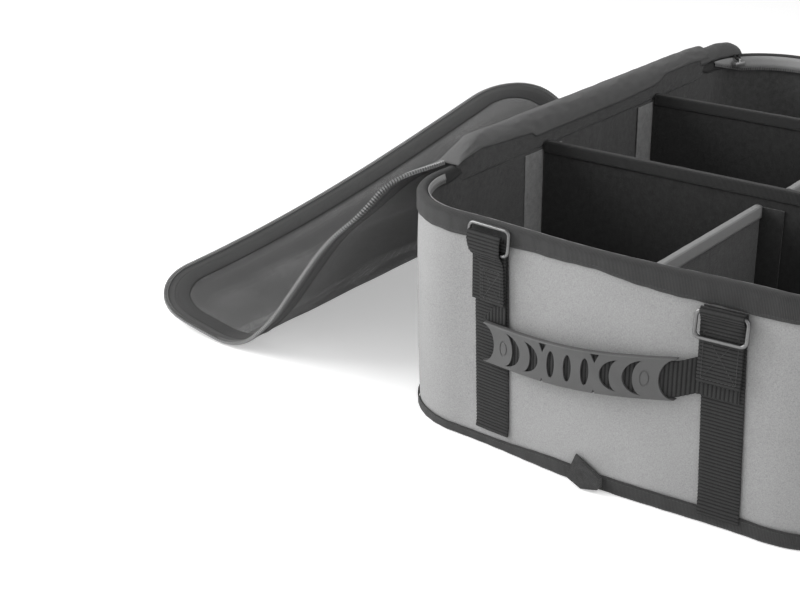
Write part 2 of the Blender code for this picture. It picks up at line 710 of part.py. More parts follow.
def cut_hole(target, cutter):
    """Cut one solid with another and drop the cutter."""
    cut = target.modifiers.new("cut", "BOOLEAN")
    cut.operation = "DIFFERENCE"
    cut.solver = "EXACT"
    cut.object = cutter
    evaluated = target.evaluated_get(bpy.context.evaluated_depsgraph_get())
    mesh = bpy.data.meshes.new_from_object(evaluated)
    old = target.data
    target.modifiers.clear()
    target.data = mesh
    bpy.data.meshes.remove(old)
    bpy.data.objects.remove(cutter, do_unlink=True)


def handle_run(x):
    """Offset from the wall and height of the handle's middle line at x."""
    left_end = -STRAP_SPACING / 2 - STRAP_WIDTH / 2
    grip_left = GRIP_SHIFT - GRIP_LENGTH / 2
    grip_right = GRIP_SHIFT + GRIP_LENGTH / 2
    anchor = HANDLE_LAYER + WEBBING_THICKNESS / 2
    strap_inner = STRAP_SPACING / 2 - STRAP_WIDTH / 2
    if x <= grip_left:
        share = (x - left_end) / (grip_left - left_end)
        return HANDLE_END_OFFSET, HANDLE_LEFT_Z - HANDLE_LEFT_DROP * (1 - share)
    if x >= grip_right:
        share = min(1.0, (x - grip_right) / (strap_inner - grip_right))
        start = HANDLE_END_OFFSET
        return start + (anchor - start) * share, HANDLE_RIGHT_Z + (HANDLE_ANCHOR_Z - HANDLE_RIGHT_Z) * share
    share = (x - grip_left) / GRIP_LENGTH
    swell = math.sin(math.pi * share)
    height = HANDLE_LEFT_Z + (HANDLE_RIGHT_Z - HANDLE_LEFT_Z) * share - HANDLE_SAG * swell
    return HANDLE_END_OFFSET + (HANDLE_BOW - HANDLE_END_OFFSET) * swell, height


def handle_place(x, depth, height, turn):
    """World place of a point at x, depth outwards and height above the handle's middle line."""
    offset, middle = handle_run(x)
    return turn @ Vector((x, wall_y(x, offset + depth), middle + height))


def grip_mouth(side):
    """Outline of the concave mouth cut into one end of the grip."""
    half = GRIP_HEIGHT / 2
    end = GRIP_SHIFT + side * GRIP_LENGTH / 2
    points = []
    for step in range(9):
        angle = math.pi * (step / 8 - 0.5)
        points.append((end - side * GRIP_MOUTH_DEPTH * math.cos(angle), GRIP_MOUTH_HALF * math.sin(angle)))
    return points + [(end + side * half, GRIP_MOUTH_HALF), (end + side * half, -GRIP_MOUTH_HALF)]


def crescent(centre, bulge, half_height, width):
    """A crescent cut-out whose back bulges towards +bulge."""
    points = []
    for step in range(9):
        angle = math.pi * (step / 8 - 0.5)
        points.append((centre + bulge * math.cos(angle), half_height * math.sin(angle)))
    for step in range(7, 0, -1):
        angle = math.pi * (step / 8 - 0.5)
        inner = bulge - math.copysign(width, bulge)
        points.append((centre + inner * math.cos(angle), half_height * math.sin(angle)))
    return points


def grip_windows():
    """Outlines cut through the grip's front: three ovals, and two crescents on each side of them."""
    windows = []
    for step in (-1, 0, 1):
        oval = []
        for k in range(14):
            angle = 2 * math.pi * k / 14
            x = GRIP_SHIFT + step * GRIP_OVAL_SPACING + GRIP_OVAL_WIDTH / 2 * math.cos(angle)
            oval.append((x, GRIP_OVAL_HEIGHT / 2 * math.sin(angle)))
        windows.append(oval)
    for side in (-1, 1):
        for tips, bulge, half_height, width in GRIP_CRESCENTS:
            windows.append(crescent(GRIP_SHIFT + side * tips, -side * bulge, half_height, width))
    return windows


def grip_slab(end_half, depth_half, height_half):
    """A block centred on the grip, divided along its length so that it can be bowed."""
    bm = bmesh.new()
    low = (GRIP_SHIFT - end_half, -depth_half, -height_half)
    slab(bm, low, (GRIP_SHIFT + end_half, depth_half, height_half))
    for step in range(1, GRIP_COLUMNS):
        x = GRIP_SHIFT - GRIP_LENGTH / 2 + GRIP_LENGTH * step / GRIP_COLUMNS
        geometry = bm.verts[:] + bm.edges[:] + bm.faces[:]
        bmesh.ops.bisect_plane(bm, geom=geometry, plane_co=(x, 0, 0), plane_no=(1, 0, 0))
    return bm


def make_grip(name, turn, material):
    """A rubber sleeve round the handle's webbing, cut flat and then bowed along the handle."""
    grip = finish(name, grip_slab(GRIP_LENGTH / 2, GRIP_THICKNESS / 2, GRIP_HEIGHT / 2), material)
    slot_half = WEBBING_THICKNESS / 2 + GRIP_SLOT_CLEARANCE
    slot_height = HANDLE_WEBBING_WIDTH / 2 + GRIP_SLOT_CLEARANCE
    slot = grip_slab(GRIP_LENGTH, slot_half, slot_height)
    cut_hole(grip, finish("grip_slot_cutter", slot, material))
    cuts = [(window, 0.0) for window in grip_windows()]
    cuts += [(grip_mouth(side), GRIP_THICKNESS) for side in (-1, 1)]
    for outline, back in cuts:
        hole = bmesh.new()
        prism(hole, outline, -GRIP_THICKNESS, back, 1)
        cut_hole(grip, finish("grip_cutter", hole, material))
    bm = bmesh.new()
    bm.from_mesh(grip.data)
    bmesh.ops.triangulate(bm, faces=bm.faces)
    for vert in bm.verts:
        vert.co = handle_place(vert.co.x, -vert.co.y, vert.co.z, turn)
    old = grip.data
    bpy.data.objects.remove(grip, do_unlink=True)
    bpy.data.meshes.remove(old)
    finish(name, bm, material, turn_faces=False)


def make_handle(end, turn, materials):
    """Webbing between the two straps with a rubber grip on it."""
    reach = STRAP_SPACING / 2 + STRAP_WIDTH / 2 - 2 * FIT_GAP
    stations = [-reach + 2 * reach * step / HANDLE_COLUMNS for step in range(HANDLE_COLUMNS + 1)]
    inner_edge = STRAP_SPACING / 2 - STRAP_WIDTH / 2
    stations = [x for x in stations if abs(x - inner_edge) > reach / HANDLE_COLUMNS]
    stations = sorted(stations + [inner_edge - HANDLE_STEP_DOWN, inner_edge])
    half = HANDLE_WEBBING_WIDTH / 2
    depth = WEBBING_THICKNESS / 2
    bm = bmesh.new()
    rows = []
    for x in stations:
        corners = ((depth, -half), (depth, half), (-depth, half), (-depth, -half))
        rows.append([bm.verts.new(handle_place(x, d, h, turn)) for d, h in corners])
    for here, there in zip(rows, rows[1:]):
        for k in range(4):
            j = (k + 1) % 4
            bm.faces.new((here[k], here[j], there[j], there[k]))
    bm.faces.new(rows[0])
    bm.faces.new(rows[-1])
    bmesh.ops.triangulate(bm, faces=bm.faces)
    finish(f"{end}_handle_webbing", bm, materials["webbing"])
    left = -STRAP_WIDTH / 2 + 2 * FIT_GAP
    outline = [
        (left, HANDLE_TAIL_BOTTOM),
        (left, HANDLE_TAIL_TOP),
        (left + HANDLE_TAIL_RUN, HANDLE_TAIL_TOP),
        (left + HANDLE_TAIL_RUN, HANDLE_TAIL_BOTTOM + HANDLE_TAIL_SLANT),
        (left + HANDLE_TAIL_RUN - HANDLE_TAIL_SLANT, HANDLE_TAIL_BOTTOM),
    ]
    tail = bmesh.new()
    prism(tail, outline, -HANDLE_LAYER - WEBBING_THICKNESS, -HANDLE_LAYER, 1)
    bmesh.ops.transform(tail, matrix=strap_frame(-1, turn), verts=tail.verts)
    finish(f"{end}_handle_fold", tail, materials["webbing"])
    make_grip(f"{end}_grip", turn, materials["rubber"])


def make_divider_binding(name, low, high, axis, top, material):
    """An upside-down channel over a divider's top edge; axis is the one the divider runs along."""
    outer = DIVIDER_BINDING_THICKNESS / 2
    inner = DIVIDER_THICKNESS / 2 + LAYER_GAP
    roof = top - BINDING_THICKNESS
    hem = top - DIVIDER_BINDING_HEIGHT
    outline = [
        (-outer, hem), (-outer, roof), (-outer + BINDING_THICKNESS, top),
        (outer - BINDING_THICKNESS, top), (outer, roof), (outer, hem),
        (inner, hem), (inner, roof - LAYER_GAP), (-inner, roof - LAYER_GAP), (-inner, hem),
    ]
    bm = bmesh.new()
    centre = (low[0] + high[0]) / 2 if axis == 1 else (low[1] + high[1]) / 2
    shifted = [(centre + side, z) for side, z in outline]
    prism(bm, shifted, low[axis], high[axis], axis)
    finish(name, bm, material)


def make_cross_divider(name, y, materials):
    """A divider from the left wall to the right wall, with a hook-and-loop tab at each end."""
    end_x = WIDTH / 2 - RIM_INSIDE - FIT_GAP
    half = DIVIDER_THICKNESS / 2
    floor = FLOOR_TOP + FIT_GAP
    panel_top = CROSS_DIVIDER_TOP - BINDING_THICKNESS - 2 * LAYER_GAP
    block(f"{name}_panel", (-end_x, y - half, floor), (end_x, y + half, panel_top), materials["felt"])
    binding_end = end_x - HINGE_STRIP_THICKNESS - FIT_GAP
    ends = ((-binding_end, y, 0.0), (binding_end, y, 0.0))
    make_divider_binding(f"{name}_binding", *ends, 0, CROSS_DIVIDER_TOP, materials["binding"])
    tab_top = HEIGHT - RIM_BAND_INSIDE - FIT_GAP
    for side, side_name in ((-1, "left"), (1, "right")):
        face = side * (WIDTH / 2 - LINING_INSIDE - LAYER_GAP)
        inner = face - side * (TAB_THICKNESS - LAYER_GAP)
        low = (min(face, inner), y - TAB_HALF_WIDTH, floor)
        high = (max(face, inner), y + TAB_HALF_WIDTH, tab_top - TAB_DROP)
        block(f"{name}_tab_{side_name}", low, high, materials["hook_tape"])


def make_small_divider(name, x, front, rear, top, front_on_wall, materials):
    """A short lengthwise divider between two faces, with a tab at each end."""
    half = DIVIDER_THICKNESS / 2
    floor = FLOOR_TOP + FIT_GAP
    tab = TAB_THICKNESS
    low = (x - half, front + tab + 2 * FIT_GAP, floor)
    high = (x + half, rear - tab - 2 * FIT_GAP, top - BINDING_THICKNESS - 2 * LAYER_GAP)
    block(f"{name}_panel", low, high, materials["felt"])
    make_divider_binding(f"{name}_binding", low, high, 1, top, materials["pale_binding"])
    tab_top = min(top, CROSS_DIVIDER_TOP - DIVIDER_BINDING_HEIGHT) - 2 * FIT_GAP
    spans = (("front", front + FIT_GAP), ("rear", rear - FIT_GAP - tab))
    for side_name, start in spans:
        wide = SMALL_TAB_WIDTH
        left = x - wide if side_name == "front" and front_on_wall else x - half
        right = x + wide
        block(f"{name}_tab_{side_name}", (left, start, floor), (right, start + tab, tab_top), materials["hook_tape"])


def make_base_tab(materials):
    """Triangular fabric tab that stands out from the foot of the front wall."""
    back = LAYER_GAP + BINDING_THICKNESS + LAYER_GAP
    y = wall_y(BASE_TAB_X, back)
    half = BASE_TAB_WIDTH / 2
    bm = bmesh.new()
    outline = [
        (BASE_TAB_X - half, BASE_BAND_HEIGHT / 2),
        (BASE_TAB_X + BASE_TAB_APEX_SHIFT, BASE_TAB_HEIGHT),
        (BASE_TAB_X + half, BASE_BAND_HEIGHT),
        (BASE_TAB_X + half, BASE_BAND_HEIGHT / 3),
        (BASE_TAB_X, BASE_BAND_LIFT),
    ]
    prism(bm, outline, y - BASE_TAB_THICKNESS, y, 1)
    for vert in bm.verts:
        share = 1 - vert.co.z / BASE_TAB_HEIGHT
        vert.co.y -= BASE_TAB_LEAN * share * (1 if vert.co.y < y - BASE_TAB_THICKNESS / 2 else 0.0)
    bmesh.ops.triangulate(bm, faces=bm.faces)
    finish("base_tab", bm, materials["webbing"])


def make_materials():
    return {
        "wall_fabric": make_material("wall_fabric", (0.34, 0.34, 0.34), 0.85),
        "felt": make_material("felt", (0.025, 0.025, 0.025), 0.95),
        "board": make_material("board", (0.10, 0.10, 0.10), 0.80),
        "binding": make_material("binding", (0.045, 0.045, 0.045), 0.75),
        "pale_binding": make_material("pale_binding", (0.16, 0.16, 0.16), 0.75),
        "webbing": make_material("webbing", (0.035, 0.035, 0.035), 0.80),
        "border_fabric": make_material("border_fabric", (0.06, 0.06, 0.06), 0.80),
        "net": make_material("net", (0.10, 0.10, 0.10), 0.70),
        "zip_tape": make_material("zip_tape", (0.05, 0.05, 0.05), 0.80),
        "zip_coil": make_material("zip_coil", (0.20, 0.20, 0.20), 0.40),
        "hook_tape": make_material("hook_tape", (0.12, 0.12, 0.12), 0.85),
        "rubber": make_material("rubber", (0.09, 0.09, 0.09), 0.60),
        "cord": make_material("cord", (0.03, 0.03, 0.03), 0.80),
        "wire": make_material("wire", (0.45, 0.45, 0.45), 0.30, 1.0),
    }


def main():
    clear_scene()
    materials = make_materials()
    make_walls(materials)
    make_box_zip(materials)
    make_hinge_strip(materials)
    make_lid(materials)
    make_slider(materials)
    ends = (
        ("front", Matrix.Identity(4), "left"),
        ("rear", Matrix.Rotation(math.pi, 4, "Z"), "none"),
    )
    for end, turn, standing in ends:
        make_straps(end, turn, standing, materials)
        make_handle(end, turn, materials)
    make_cross_divider("front_cross_divider", FRONT_CROSS_DIVIDER_Y, materials)
    make_cross_divider("rear_cross_divider", REAR_CROSS_DIVIDER_Y, materials)
    half = DIVIDER_THICKNESS / 2
    tab_end = FRONT_SMALL_DIVIDER_X + SMALL_TAB_WIDTH
    wall_face = wall_y(tab_end, -LINING_INSIDE)
    make_small_divider(
        "front_small_divider", FRONT_SMALL_DIVIDER_X, wall_face, FRONT_CROSS_DIVIDER_Y - half,
        FRONT_SMALL_DIVIDER_TOP, True, materials,
    )
    make_small_divider(
        "middle_small_divider", MIDDLE_SMALL_DIVIDER_X, FRONT_CROSS_DIVIDER_Y + half,
        REAR_CROSS_DIVIDER_Y - half, MIDDLE_SMALL_DIVIDER_TOP, False, materials,
    )
    make_base_tab(materials)


main()
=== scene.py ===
# %% [markdown]
# # A folding storage box
#
# The object is a boot organiser: grey fabric walls stiffened with board, black binding tape at the rim and
# the foot, a felt lining with loose dividers, webbing straps with wire rings, a rubber-gripped handle on each
# short wall, and a zipped mesh lid that hangs open over the left wall. The solids that carry and move it are
# loaded first as a fixed frame, and everything made here is fitted to them.

# %% Load the frame
import math

import bmesh
import bpy
from mathutils import Matrix, Vector
from mathutils.noise import noise


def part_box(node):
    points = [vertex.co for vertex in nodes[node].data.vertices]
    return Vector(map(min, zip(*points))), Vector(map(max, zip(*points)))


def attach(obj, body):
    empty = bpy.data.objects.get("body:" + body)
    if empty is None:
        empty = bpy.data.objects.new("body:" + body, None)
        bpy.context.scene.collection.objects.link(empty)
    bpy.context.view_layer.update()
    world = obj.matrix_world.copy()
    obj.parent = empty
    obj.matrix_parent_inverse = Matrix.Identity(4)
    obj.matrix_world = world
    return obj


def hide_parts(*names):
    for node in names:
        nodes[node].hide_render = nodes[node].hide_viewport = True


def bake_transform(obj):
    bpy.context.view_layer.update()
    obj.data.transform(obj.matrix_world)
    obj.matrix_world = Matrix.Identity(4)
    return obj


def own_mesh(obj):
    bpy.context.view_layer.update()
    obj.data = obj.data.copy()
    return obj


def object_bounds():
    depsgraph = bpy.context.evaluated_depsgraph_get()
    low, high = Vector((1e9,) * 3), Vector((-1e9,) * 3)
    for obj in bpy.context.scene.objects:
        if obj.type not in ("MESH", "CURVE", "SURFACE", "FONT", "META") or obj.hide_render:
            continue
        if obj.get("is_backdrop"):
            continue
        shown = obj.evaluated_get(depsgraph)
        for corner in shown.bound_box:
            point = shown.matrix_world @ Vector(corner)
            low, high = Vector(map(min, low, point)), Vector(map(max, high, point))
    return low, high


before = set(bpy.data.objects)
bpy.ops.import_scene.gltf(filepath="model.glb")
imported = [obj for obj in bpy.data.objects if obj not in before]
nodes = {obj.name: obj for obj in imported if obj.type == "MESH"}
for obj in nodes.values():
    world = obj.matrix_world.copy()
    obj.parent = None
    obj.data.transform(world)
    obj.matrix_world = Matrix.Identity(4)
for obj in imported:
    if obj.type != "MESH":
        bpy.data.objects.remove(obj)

cad_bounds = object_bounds()

# %% [markdown]
# ## Helpers for modelling
#
# An operator works on whatever is selected, so each step starts with nothing selected and picks its faces or
# edges in code. A finished piece keeps its place in its mesh: its object is at the origin, unturned and
# unscaled, as the frame's own nodes are.

# %% Select and edit
MILLIMETRE = 0.001
WELD = 0.005 * MILLIMETRE


def clamped(value):
    """The value, kept between 0 and 1."""
    return min(1.0, max(0.0, value))


def eased(share):
    """A share from 0 to 1 that starts and ends gently."""
    return share * share * (3 - 2 * share)


def select_only(piece):
    """Make one object the only selected and active one."""
    bpy.ops.object.select_all(action="DESELECT")
    piece.select_set(True)
    bpy.context.view_layer.objects.active = piece


def start_edit(piece):
    select_only(piece)
    bpy.ops.object.mode_set(mode="EDIT")
    bpy.ops.mesh.select_all(action="DESELECT")


def pick(piece, kind, test):
    """Select the vertices, edges or faces whose middle and normal pass a test, in edit mode."""
    bpy.ops.mesh.select_all(action="DESELECT")
    bpy.ops.mesh.select_mode(type=kind)
    bm = bmesh.from_edit_mesh(piece.data)
    bm.normal_update()
    for vert in bm.verts:
        if kind == "VERT" and test(vert.co, vert.normal):
            vert.select = True
    for edge in bm.edges:
        if kind == "EDGE" and test((edge.verts[0].co + edge.verts[1].co) / 2, edge):
            edge.select = True
    for face in bm.faces:
        if kind == "FACE" and test(face.calc_center_median(), face.normal):
            face.select = True
    bm.select_flush_mode()
    bmesh.update_edit_mesh(piece.data)


def end_edit():
    bpy.ops.object.mode_set(mode="OBJECT")


def turn_faces_out():
    """Turn all faces outwards, in edit mode."""
    bpy.ops.mesh.select_all(action="SELECT")
    bpy.ops.mesh.normals_make_consistent(inside=False)


def make_block(middle, size):
    """A cube stretched to a size, with its place and its size in its mesh."""
    bpy.ops.object.select_all(action="DESELECT")
    bpy.ops.mesh.primitive_cube_add(size=1.0, location=middle)
    piece = bpy.context.object
    piece.scale = size
    bpy.ops.object.transform_apply(location=True, rotation=False, scale=True)
    return piece


def start_outline(name, points, reach):
    """Extrude a filled outline along Y and stay in edit mode with everything selected."""
    mesh = bpy.data.meshes.new(name)
    mesh.from_pydata(points, [], [range(len(points))])
    piece = bpy.data.objects.new(name, mesh)
    bpy.context.collection.objects.link(piece)
    start_edit(piece)
    bpy.ops.mesh.select_all(action="SELECT")
    bpy.ops.mesh.extrude_region_move(TRANSFORM_OT_translate={"value": (0.0, reach, 0.0)})
    turn_faces_out()
    return piece


def settle(piece, name, smooth=40.0):
    """Name a piece, put its place into its mesh and shade it smooth up to an angle."""
    select_only(piece)
    bpy.ops.object.transform_apply(location=True, rotation=True, scale=True)
    piece.name = name
    piece.data.name = name
    bpy.ops.object.shade_smooth_by_angle(angle=math.radians(smooth))
    return piece


def apply_modifier(piece, kind, **settings):
    """Add a modifier with its settings and apply it at once."""
    select_only(piece)
    modifier = piece.modifiers.new(kind.lower(), kind)
    for key, value in settings.items():
        setattr(modifier, key, value)
    bpy.ops.object.modifier_apply(modifier=modifier.name)


def thicken(piece, thickness, offset=0.0, round_edge=0.0):
    """Give a sheet its thickness, and round its edges if asked."""
    apply_modifier(piece, "SOLIDIFY", thickness=thickness, offset=offset)
    if round_edge:
        settings = {"width": round_edge, "segments": 2, "limit_method": "ANGLE"}
        apply_modifier(piece, "BEVEL", angle_limit=math.radians(60), **settings)


def dress(piece, body, slot, material, *replaced):
    """Give a finished piece its material, its body and the nodes that it stands for; the slot is not used."""
    piece.data.materials.clear()
    piece.data.materials.append(material)
    if replaced:
        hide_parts(*replaced)
    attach(piece, body)
    return piece


def cloth_strip(name, columns, closed=False, step_length=None):
    """Lay a grid primitive along columns of points, with a UV map in metres along and across it.

    The distance along the strip is measured, or counted in columns of one length where that is given.
    """
    count = len(columns)
    across = len(columns[0])
    select_cells = {"x_subdivisions": across - 1, "y_subdivisions": count - 1}
    bpy.ops.mesh.primitive_grid_add(size=1.0, calc_uvs=True, **select_cells)
    piece = bpy.context.object
    along = [0.0]
    for before, here in zip(columns, columns[1:]):
        measured = (Vector(here[across // 2]) - Vector(before[across // 2])).length
        along.append(along[-1] + (step_length or measured))
    places = []
    for index, column in enumerate(columns):
        side = 0.0
        for step, point in enumerate(column):
            if step:
                side += (Vector(point) - Vector(column[step - 1])).length
            piece.data.vertices[index * across + step].co = point
            places.append((along[index], side))
    layer = piece.data.uv_layers.active.data
    for loop in piece.data.loops:
        layer[loop.index].uv = places[loop.vertex_index]
    if closed:
        start_edit(piece)
        bpy.ops.mesh.select_all(action="SELECT")
        bpy.ops.mesh.remove_doubles(threshold=0.01 * MILLIMETRE)
        end_edit()
    return settle(piece, name)


def repeat(name, pattern, places):
    """Copy one small modelled shape to many places, as one object with its own mesh."""
    bm = bmesh.new()
    for place in places:
        start = len(bm.verts)
        bm.from_mesh(pattern.data)
        bm.verts.ensure_lookup_table()
        bmesh.ops.transform(bm, matrix=place, verts=bm.verts[start:])
    mesh = bpy.data.meshes.new(name)
    bm.to_mesh(mesh)
    bm.free()
    piece = bpy.data.objects.new(name, mesh)
    bpy.context.collection.objects.link(piece)
    return settle(piece, name, 60.0)


def nearest_of(line, directions):
    """A function from a point to the direction that belongs to the closest point of a line."""

    def direction(at):
        return directions[min(range(len(line)), key=lambda index: (line[index] - at).length_squared)]

    return direction


def drop(piece):
    """Remove a pattern or a cutter that isn't part of the object."""
    bpy.data.objects.remove(piece, do_unlink=True)


def turned_to(heading, up, at):
    """A place whose X runs along the heading and whose Z leans to up."""
    x = Vector(heading).normalized()
    y = Vector(up).cross(x).normalized()
    z = x.cross(y)
    turn = Matrix((x, y, z)).transposed().to_4x4()
    return Matrix.Translation(at) @ turn


def even_points(path, spacing, closed=False):
    """Points at an even spacing along a path, each with its heading."""
    points = [Vector(p) for p in path]
    if closed:
        points.append(points[0])
    lengths = [0.0]
    for before, here in zip(points, points[1:]):
        lengths.append(lengths[-1] + (here - before).length)
    count = max(1, round(lengths[-1] / spacing))
    found = []
    span = 0
    for step in range(count):
        distance = lengths[-1] * (step + 0.5) / count
        while lengths[span + 1] < distance:
            span += 1
        share = (distance - lengths[span]) / (lengths[span + 1] - lengths[span])
        heading = points[span + 1] - points[span]
        found.append((points[span].lerp(points[span + 1], share), heading.normalized()))
    return found


# %% [markdown]
# ## Helpers for materials
#
# A finish is a formula: how light a thread is, where it dips, how rough it gets. Written as node links that
# is hard to read, so one small class wraps a node's socket and lets Python's own signs add the Math nodes.

# %% Shader sums
class Term:
    """A number that changes over a surface. Sums of terms become Math nodes."""

    def __init__(self, finish, socket):
        self.finish = finish
        self.socket = socket

    def joined(self, operation, first, second):
        return self.finish.math(operation, first, second)

    def __add__(self, other):
        return self.joined("ADD", self, other)

    def __radd__(self, other):
        return self.joined("ADD", other, self)

    def __sub__(self, other):
        return self.joined("SUBTRACT", self, other)

    def __rsub__(self, other):
        return self.joined("SUBTRACT", other, self)

    def __mul__(self, other):
        return self.joined("MULTIPLY", self, other)

    def __rmul__(self, other):
        return self.joined("MULTIPLY", other, self)

    def __truediv__(self, other):
        return self.joined("DIVIDE", self, other)


class Finish:
    """One material: its node tree, its surface shader and the formulas that feed it."""

    def __init__(self, name, metallic=0.0, sheen=0.0, specular=0.5):
        self.material = bpy.data.materials.new(name)
        self.material.use_nodes = True
        self.tree = self.material.node_tree
        self.shader = self.tree.nodes["Principled BSDF"]
        self.shader.inputs["Metallic"].default_value = metallic
        self.shader.inputs["Sheen Weight"].default_value = sheen
        self.shader.inputs["Specular IOR Level"].default_value = specular

    def node(self, kind, settings, **inputs):
        """Make a node, set it up, then feed its sockets by name (spaces written as underscores)."""
        made = self.tree.nodes.new("ShaderNode" + kind)
        for key, value in settings.items():
            setattr(made, key, value)
        for key, value in inputs.items():
            self.feed(made.inputs[int(key[1:]) if key[1:].isdigit() else key.replace("_", " ")], value)
        return made

    def feed(self, socket, value):
        if isinstance(value, Term):
            self.tree.links.new(value.socket, socket)
        else:
            socket.default_value = value

    def term(self, kind, output, settings, **inputs):
        return Term(self, self.node(kind, settings, **inputs).outputs[output])

    def math(self, operation, first, second=0.0):
        return self.term("Math", "Value", {"operation": operation}, _0=first, _1=second)

    def sine(self, angle):
        return self.math("SINE", angle)

    def clamp(self, value, low, high):
        return self.term("Clamp", "Result", {}, Value=value, Min=low, Max=high)

    def place(self, stretch=(1.0, 1.0, 1.0)):
        """Object coordinates, in metres, stretched along each axis."""
        coordinates = self.term("TexCoord", "Object", {})
        return self.term("Mapping", "Vector", {}, Vector=coordinates, Scale=stretch)

    def along_and_across(self):
        """The piece's own UV map: metres along the cloth and metres across it."""
        uv = self.term("UVMap", "UV", {})
        split = self.node("SeparateXYZ", {}, Vector=uv)
        return Term(self, split.outputs["X"]), Term(self, split.outputs["Y"])

    def noise(self, scale, vector, detail=2.0, rough=0.5):
        inputs = {"Scale": scale, "Detail": detail, "Roughness": rough, "Vector": vector}
        return self.term("TexNoise", "Fac", {}, **inputs)

    def mix(self, share, dark, light):
        """Blend two greys, each a number, into a colour."""
        dark_colour = (dark, dark, dark, 1.0)
        light_colour = (light, light, light, 1.0)
        made = self.node("Mix", {"data_type": "RGBA", "clamp_factor": True}, _0=share)
        made.inputs[6].default_value = dark_colour
        made.inputs[7].default_value = light_colour
        return Term(self, made.outputs[2])

    def paint(self, colour, roughness, height=None, depth=0.0, alpha=None):
        """Join a colour, a roughness and a bump height in metres to the shader."""
        self.feed(self.shader.inputs["Base Color"], colour)
        self.feed(self.shader.inputs["Roughness"], roughness)
        if height is not None:
            bump = self.term("Bump", "Normal", {}, Height=height, Distance=depth, Strength=1.0)
            self.feed(self.shader.inputs["Normal"], bump)
        if alpha is not None:
            self.feed(self.shader.inputs["Alpha"], alpha)
        return self.material


TURN = 2 * math.pi


def weave(finish, along, across, pitch):
    """Plain weave: threads that pass over and under each other, from 0 in the dips to 1 on the crowns."""
    warp = finish.sine(along * (TURN / pitch))
    weft = finish.sine(across * (TURN / pitch))
    return warp * weft * 0.5 + 0.5


print("helpers ready")

# %% [markdown]
# ## The camera and the studio
#
# The photograph looks down on the near handle wall from the front right, with a long lens. A fit to the box's
# edges gives the place and the angles. The right end of the box runs out of the frame, as it does there.

# %% Camera
CAMERA_PLACE = (0.5968, -1.3986, 0.6834)
CAMERA_YAW = 38.875
CAMERA_TILT = 23.063
CAMERA_ROLL = 0.653
CAMERA_LENS = 65.6
SENSOR_WIDTH = 36.0


def make_camera():
    bpy.ops.object.camera_add(location=CAMERA_PLACE)
    camera = bpy.context.object
    camera.name = "camera"
    tilt = Matrix.Rotation(math.radians(90 - CAMERA_TILT), 4, "X")
    yaw = Matrix.Rotation(math.radians(CAMERA_YAW), 4, "Z")
    roll = Matrix.Rotation(math.radians(-CAMERA_ROLL), 4, "Z")
    camera.matrix_world = Matrix.Translation(CAMERA_PLACE) @ yaw @ tilt @ roll
    camera.data.lens = CAMERA_LENS
    camera.data.sensor_width = SENSOR_WIDTH
    bpy.context.scene.camera = camera
    bpy.context.scene.view_settings.view_transform = "Standard"


make_camera()
print("camera at", CAMERA_PLACE)

# %% [markdown]
# The studio is white all round: the floor and the backdrop are seen as white, while the light on the object
# stays at a plain level. A camera ray meets a white world and a floor that only takes the shadow. A big soft
# lamp hangs over the left side, because the lid's side and the round left corner are the brightest, and a
# second one in front fills the floor below the lid. A third one on the right reaches the faces inside the
# box that look that way.

# %% Floor, world and lamps
FLOOR_SIZE = 9.0
WORLD_LIGHT = 0.42
FLOOR_WHITE = 0.96
FLOOR_GLOW = 0.38
KEY_PLACE = (-2.1, -1.2, 1.3)
KEY_SIZE = 1.6
KEY_POWER = 56.0
FILL_PLACE = (-0.5, -2.2, 1.0)
FILL_SIZE = 2.0
FILL_POWER = 13.0
SIDE_PLACE = (1.9, -0.5, 1.5)
SIDE_SIZE = 1.6
SIDE_POWER = 18.0


def seen_directly(finish):
    """1 for rays that show the backdrop: from the camera, off gloss and through glass."""
    path = finish.tree.nodes.new("ShaderNodeLightPath")
    rays = [Term(finish, path.outputs[f"Is {kind} Ray"]) for kind in ("Camera", "Glossy", "Transmission")]
    return finish.clamp(rays[0] + rays[1] + rays[2], 0.0, 1.0)


def make_floor():
    bpy.ops.mesh.primitive_plane_add(size=FLOOR_SIZE, location=(0.0, 0.0, -0.3 * MILLIMETRE))
    floor = settle(bpy.context.object, "floor")
    finish = Finish("floor_paper", specular=0.0)
    coat = finish.mix(finish.noise(3.0, finish.place()), FLOOR_WHITE - 0.01, FLOOR_WHITE)
    finish.paint(coat, 0.9)
    glow = finish.node("Emission", {}, Strength=seen_directly(finish) * FLOOR_GLOW)
    both = finish.tree.nodes.new("ShaderNodeAddShader")
    output = finish.tree.nodes["Material Output"]
    finish.tree.links.new(finish.shader.outputs[0], both.inputs[0])
    finish.tree.links.new(glow.outputs[0], both.inputs[1])
    finish.tree.links.new(both.outputs[0], output.inputs["Surface"])
    floor.data.materials.append(finish.material)
    floor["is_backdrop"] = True


def make_world():
    world = bpy.data.worlds.new("studio")
    world.use_nodes = True
    bpy.context.scene.world = world
    tree = world.node_tree
    path = tree.nodes.new("ShaderNodeLightPath")
    strength = tree.nodes.new("ShaderNodeMath")
    strength.operation = "MULTIPLY_ADD"
    strength.inputs[1].default_value = 1.0 - WORLD_LIGHT
    strength.inputs[2].default_value = WORLD_LIGHT
    tree.links.new(path.outputs["Is Camera Ray"], strength.inputs[0])
    tree.links.new(strength.outputs[0], tree.nodes["Background"].inputs["Strength"])
    tree.nodes["Background"].inputs["Color"].default_value = (1.0, 1.0, 1.0, 1.0)


def make_lamp(name, place, size, power):
    bpy.ops.object.light_add(type="AREA", location=place)
    lamp = bpy.context.object
    lamp.name = name
    lamp.data.size = size
    lamp.data.energy = power
    lamp.rotation_euler = (-Vector(place)).to_track_quat("-Z", "Y").to_euler()


make_floor()
make_world()
make_lamp("key_lamp", KEY_PLACE, KEY_SIZE, KEY_POWER)
make_lamp("fill_lamp", FILL_PLACE, FILL_SIZE, FILL_POWER)
make_lamp("side_lamp", SIDE_PLACE, SIDE_SIZE, SIDE_POWER)
print("floor, world and three lamps")

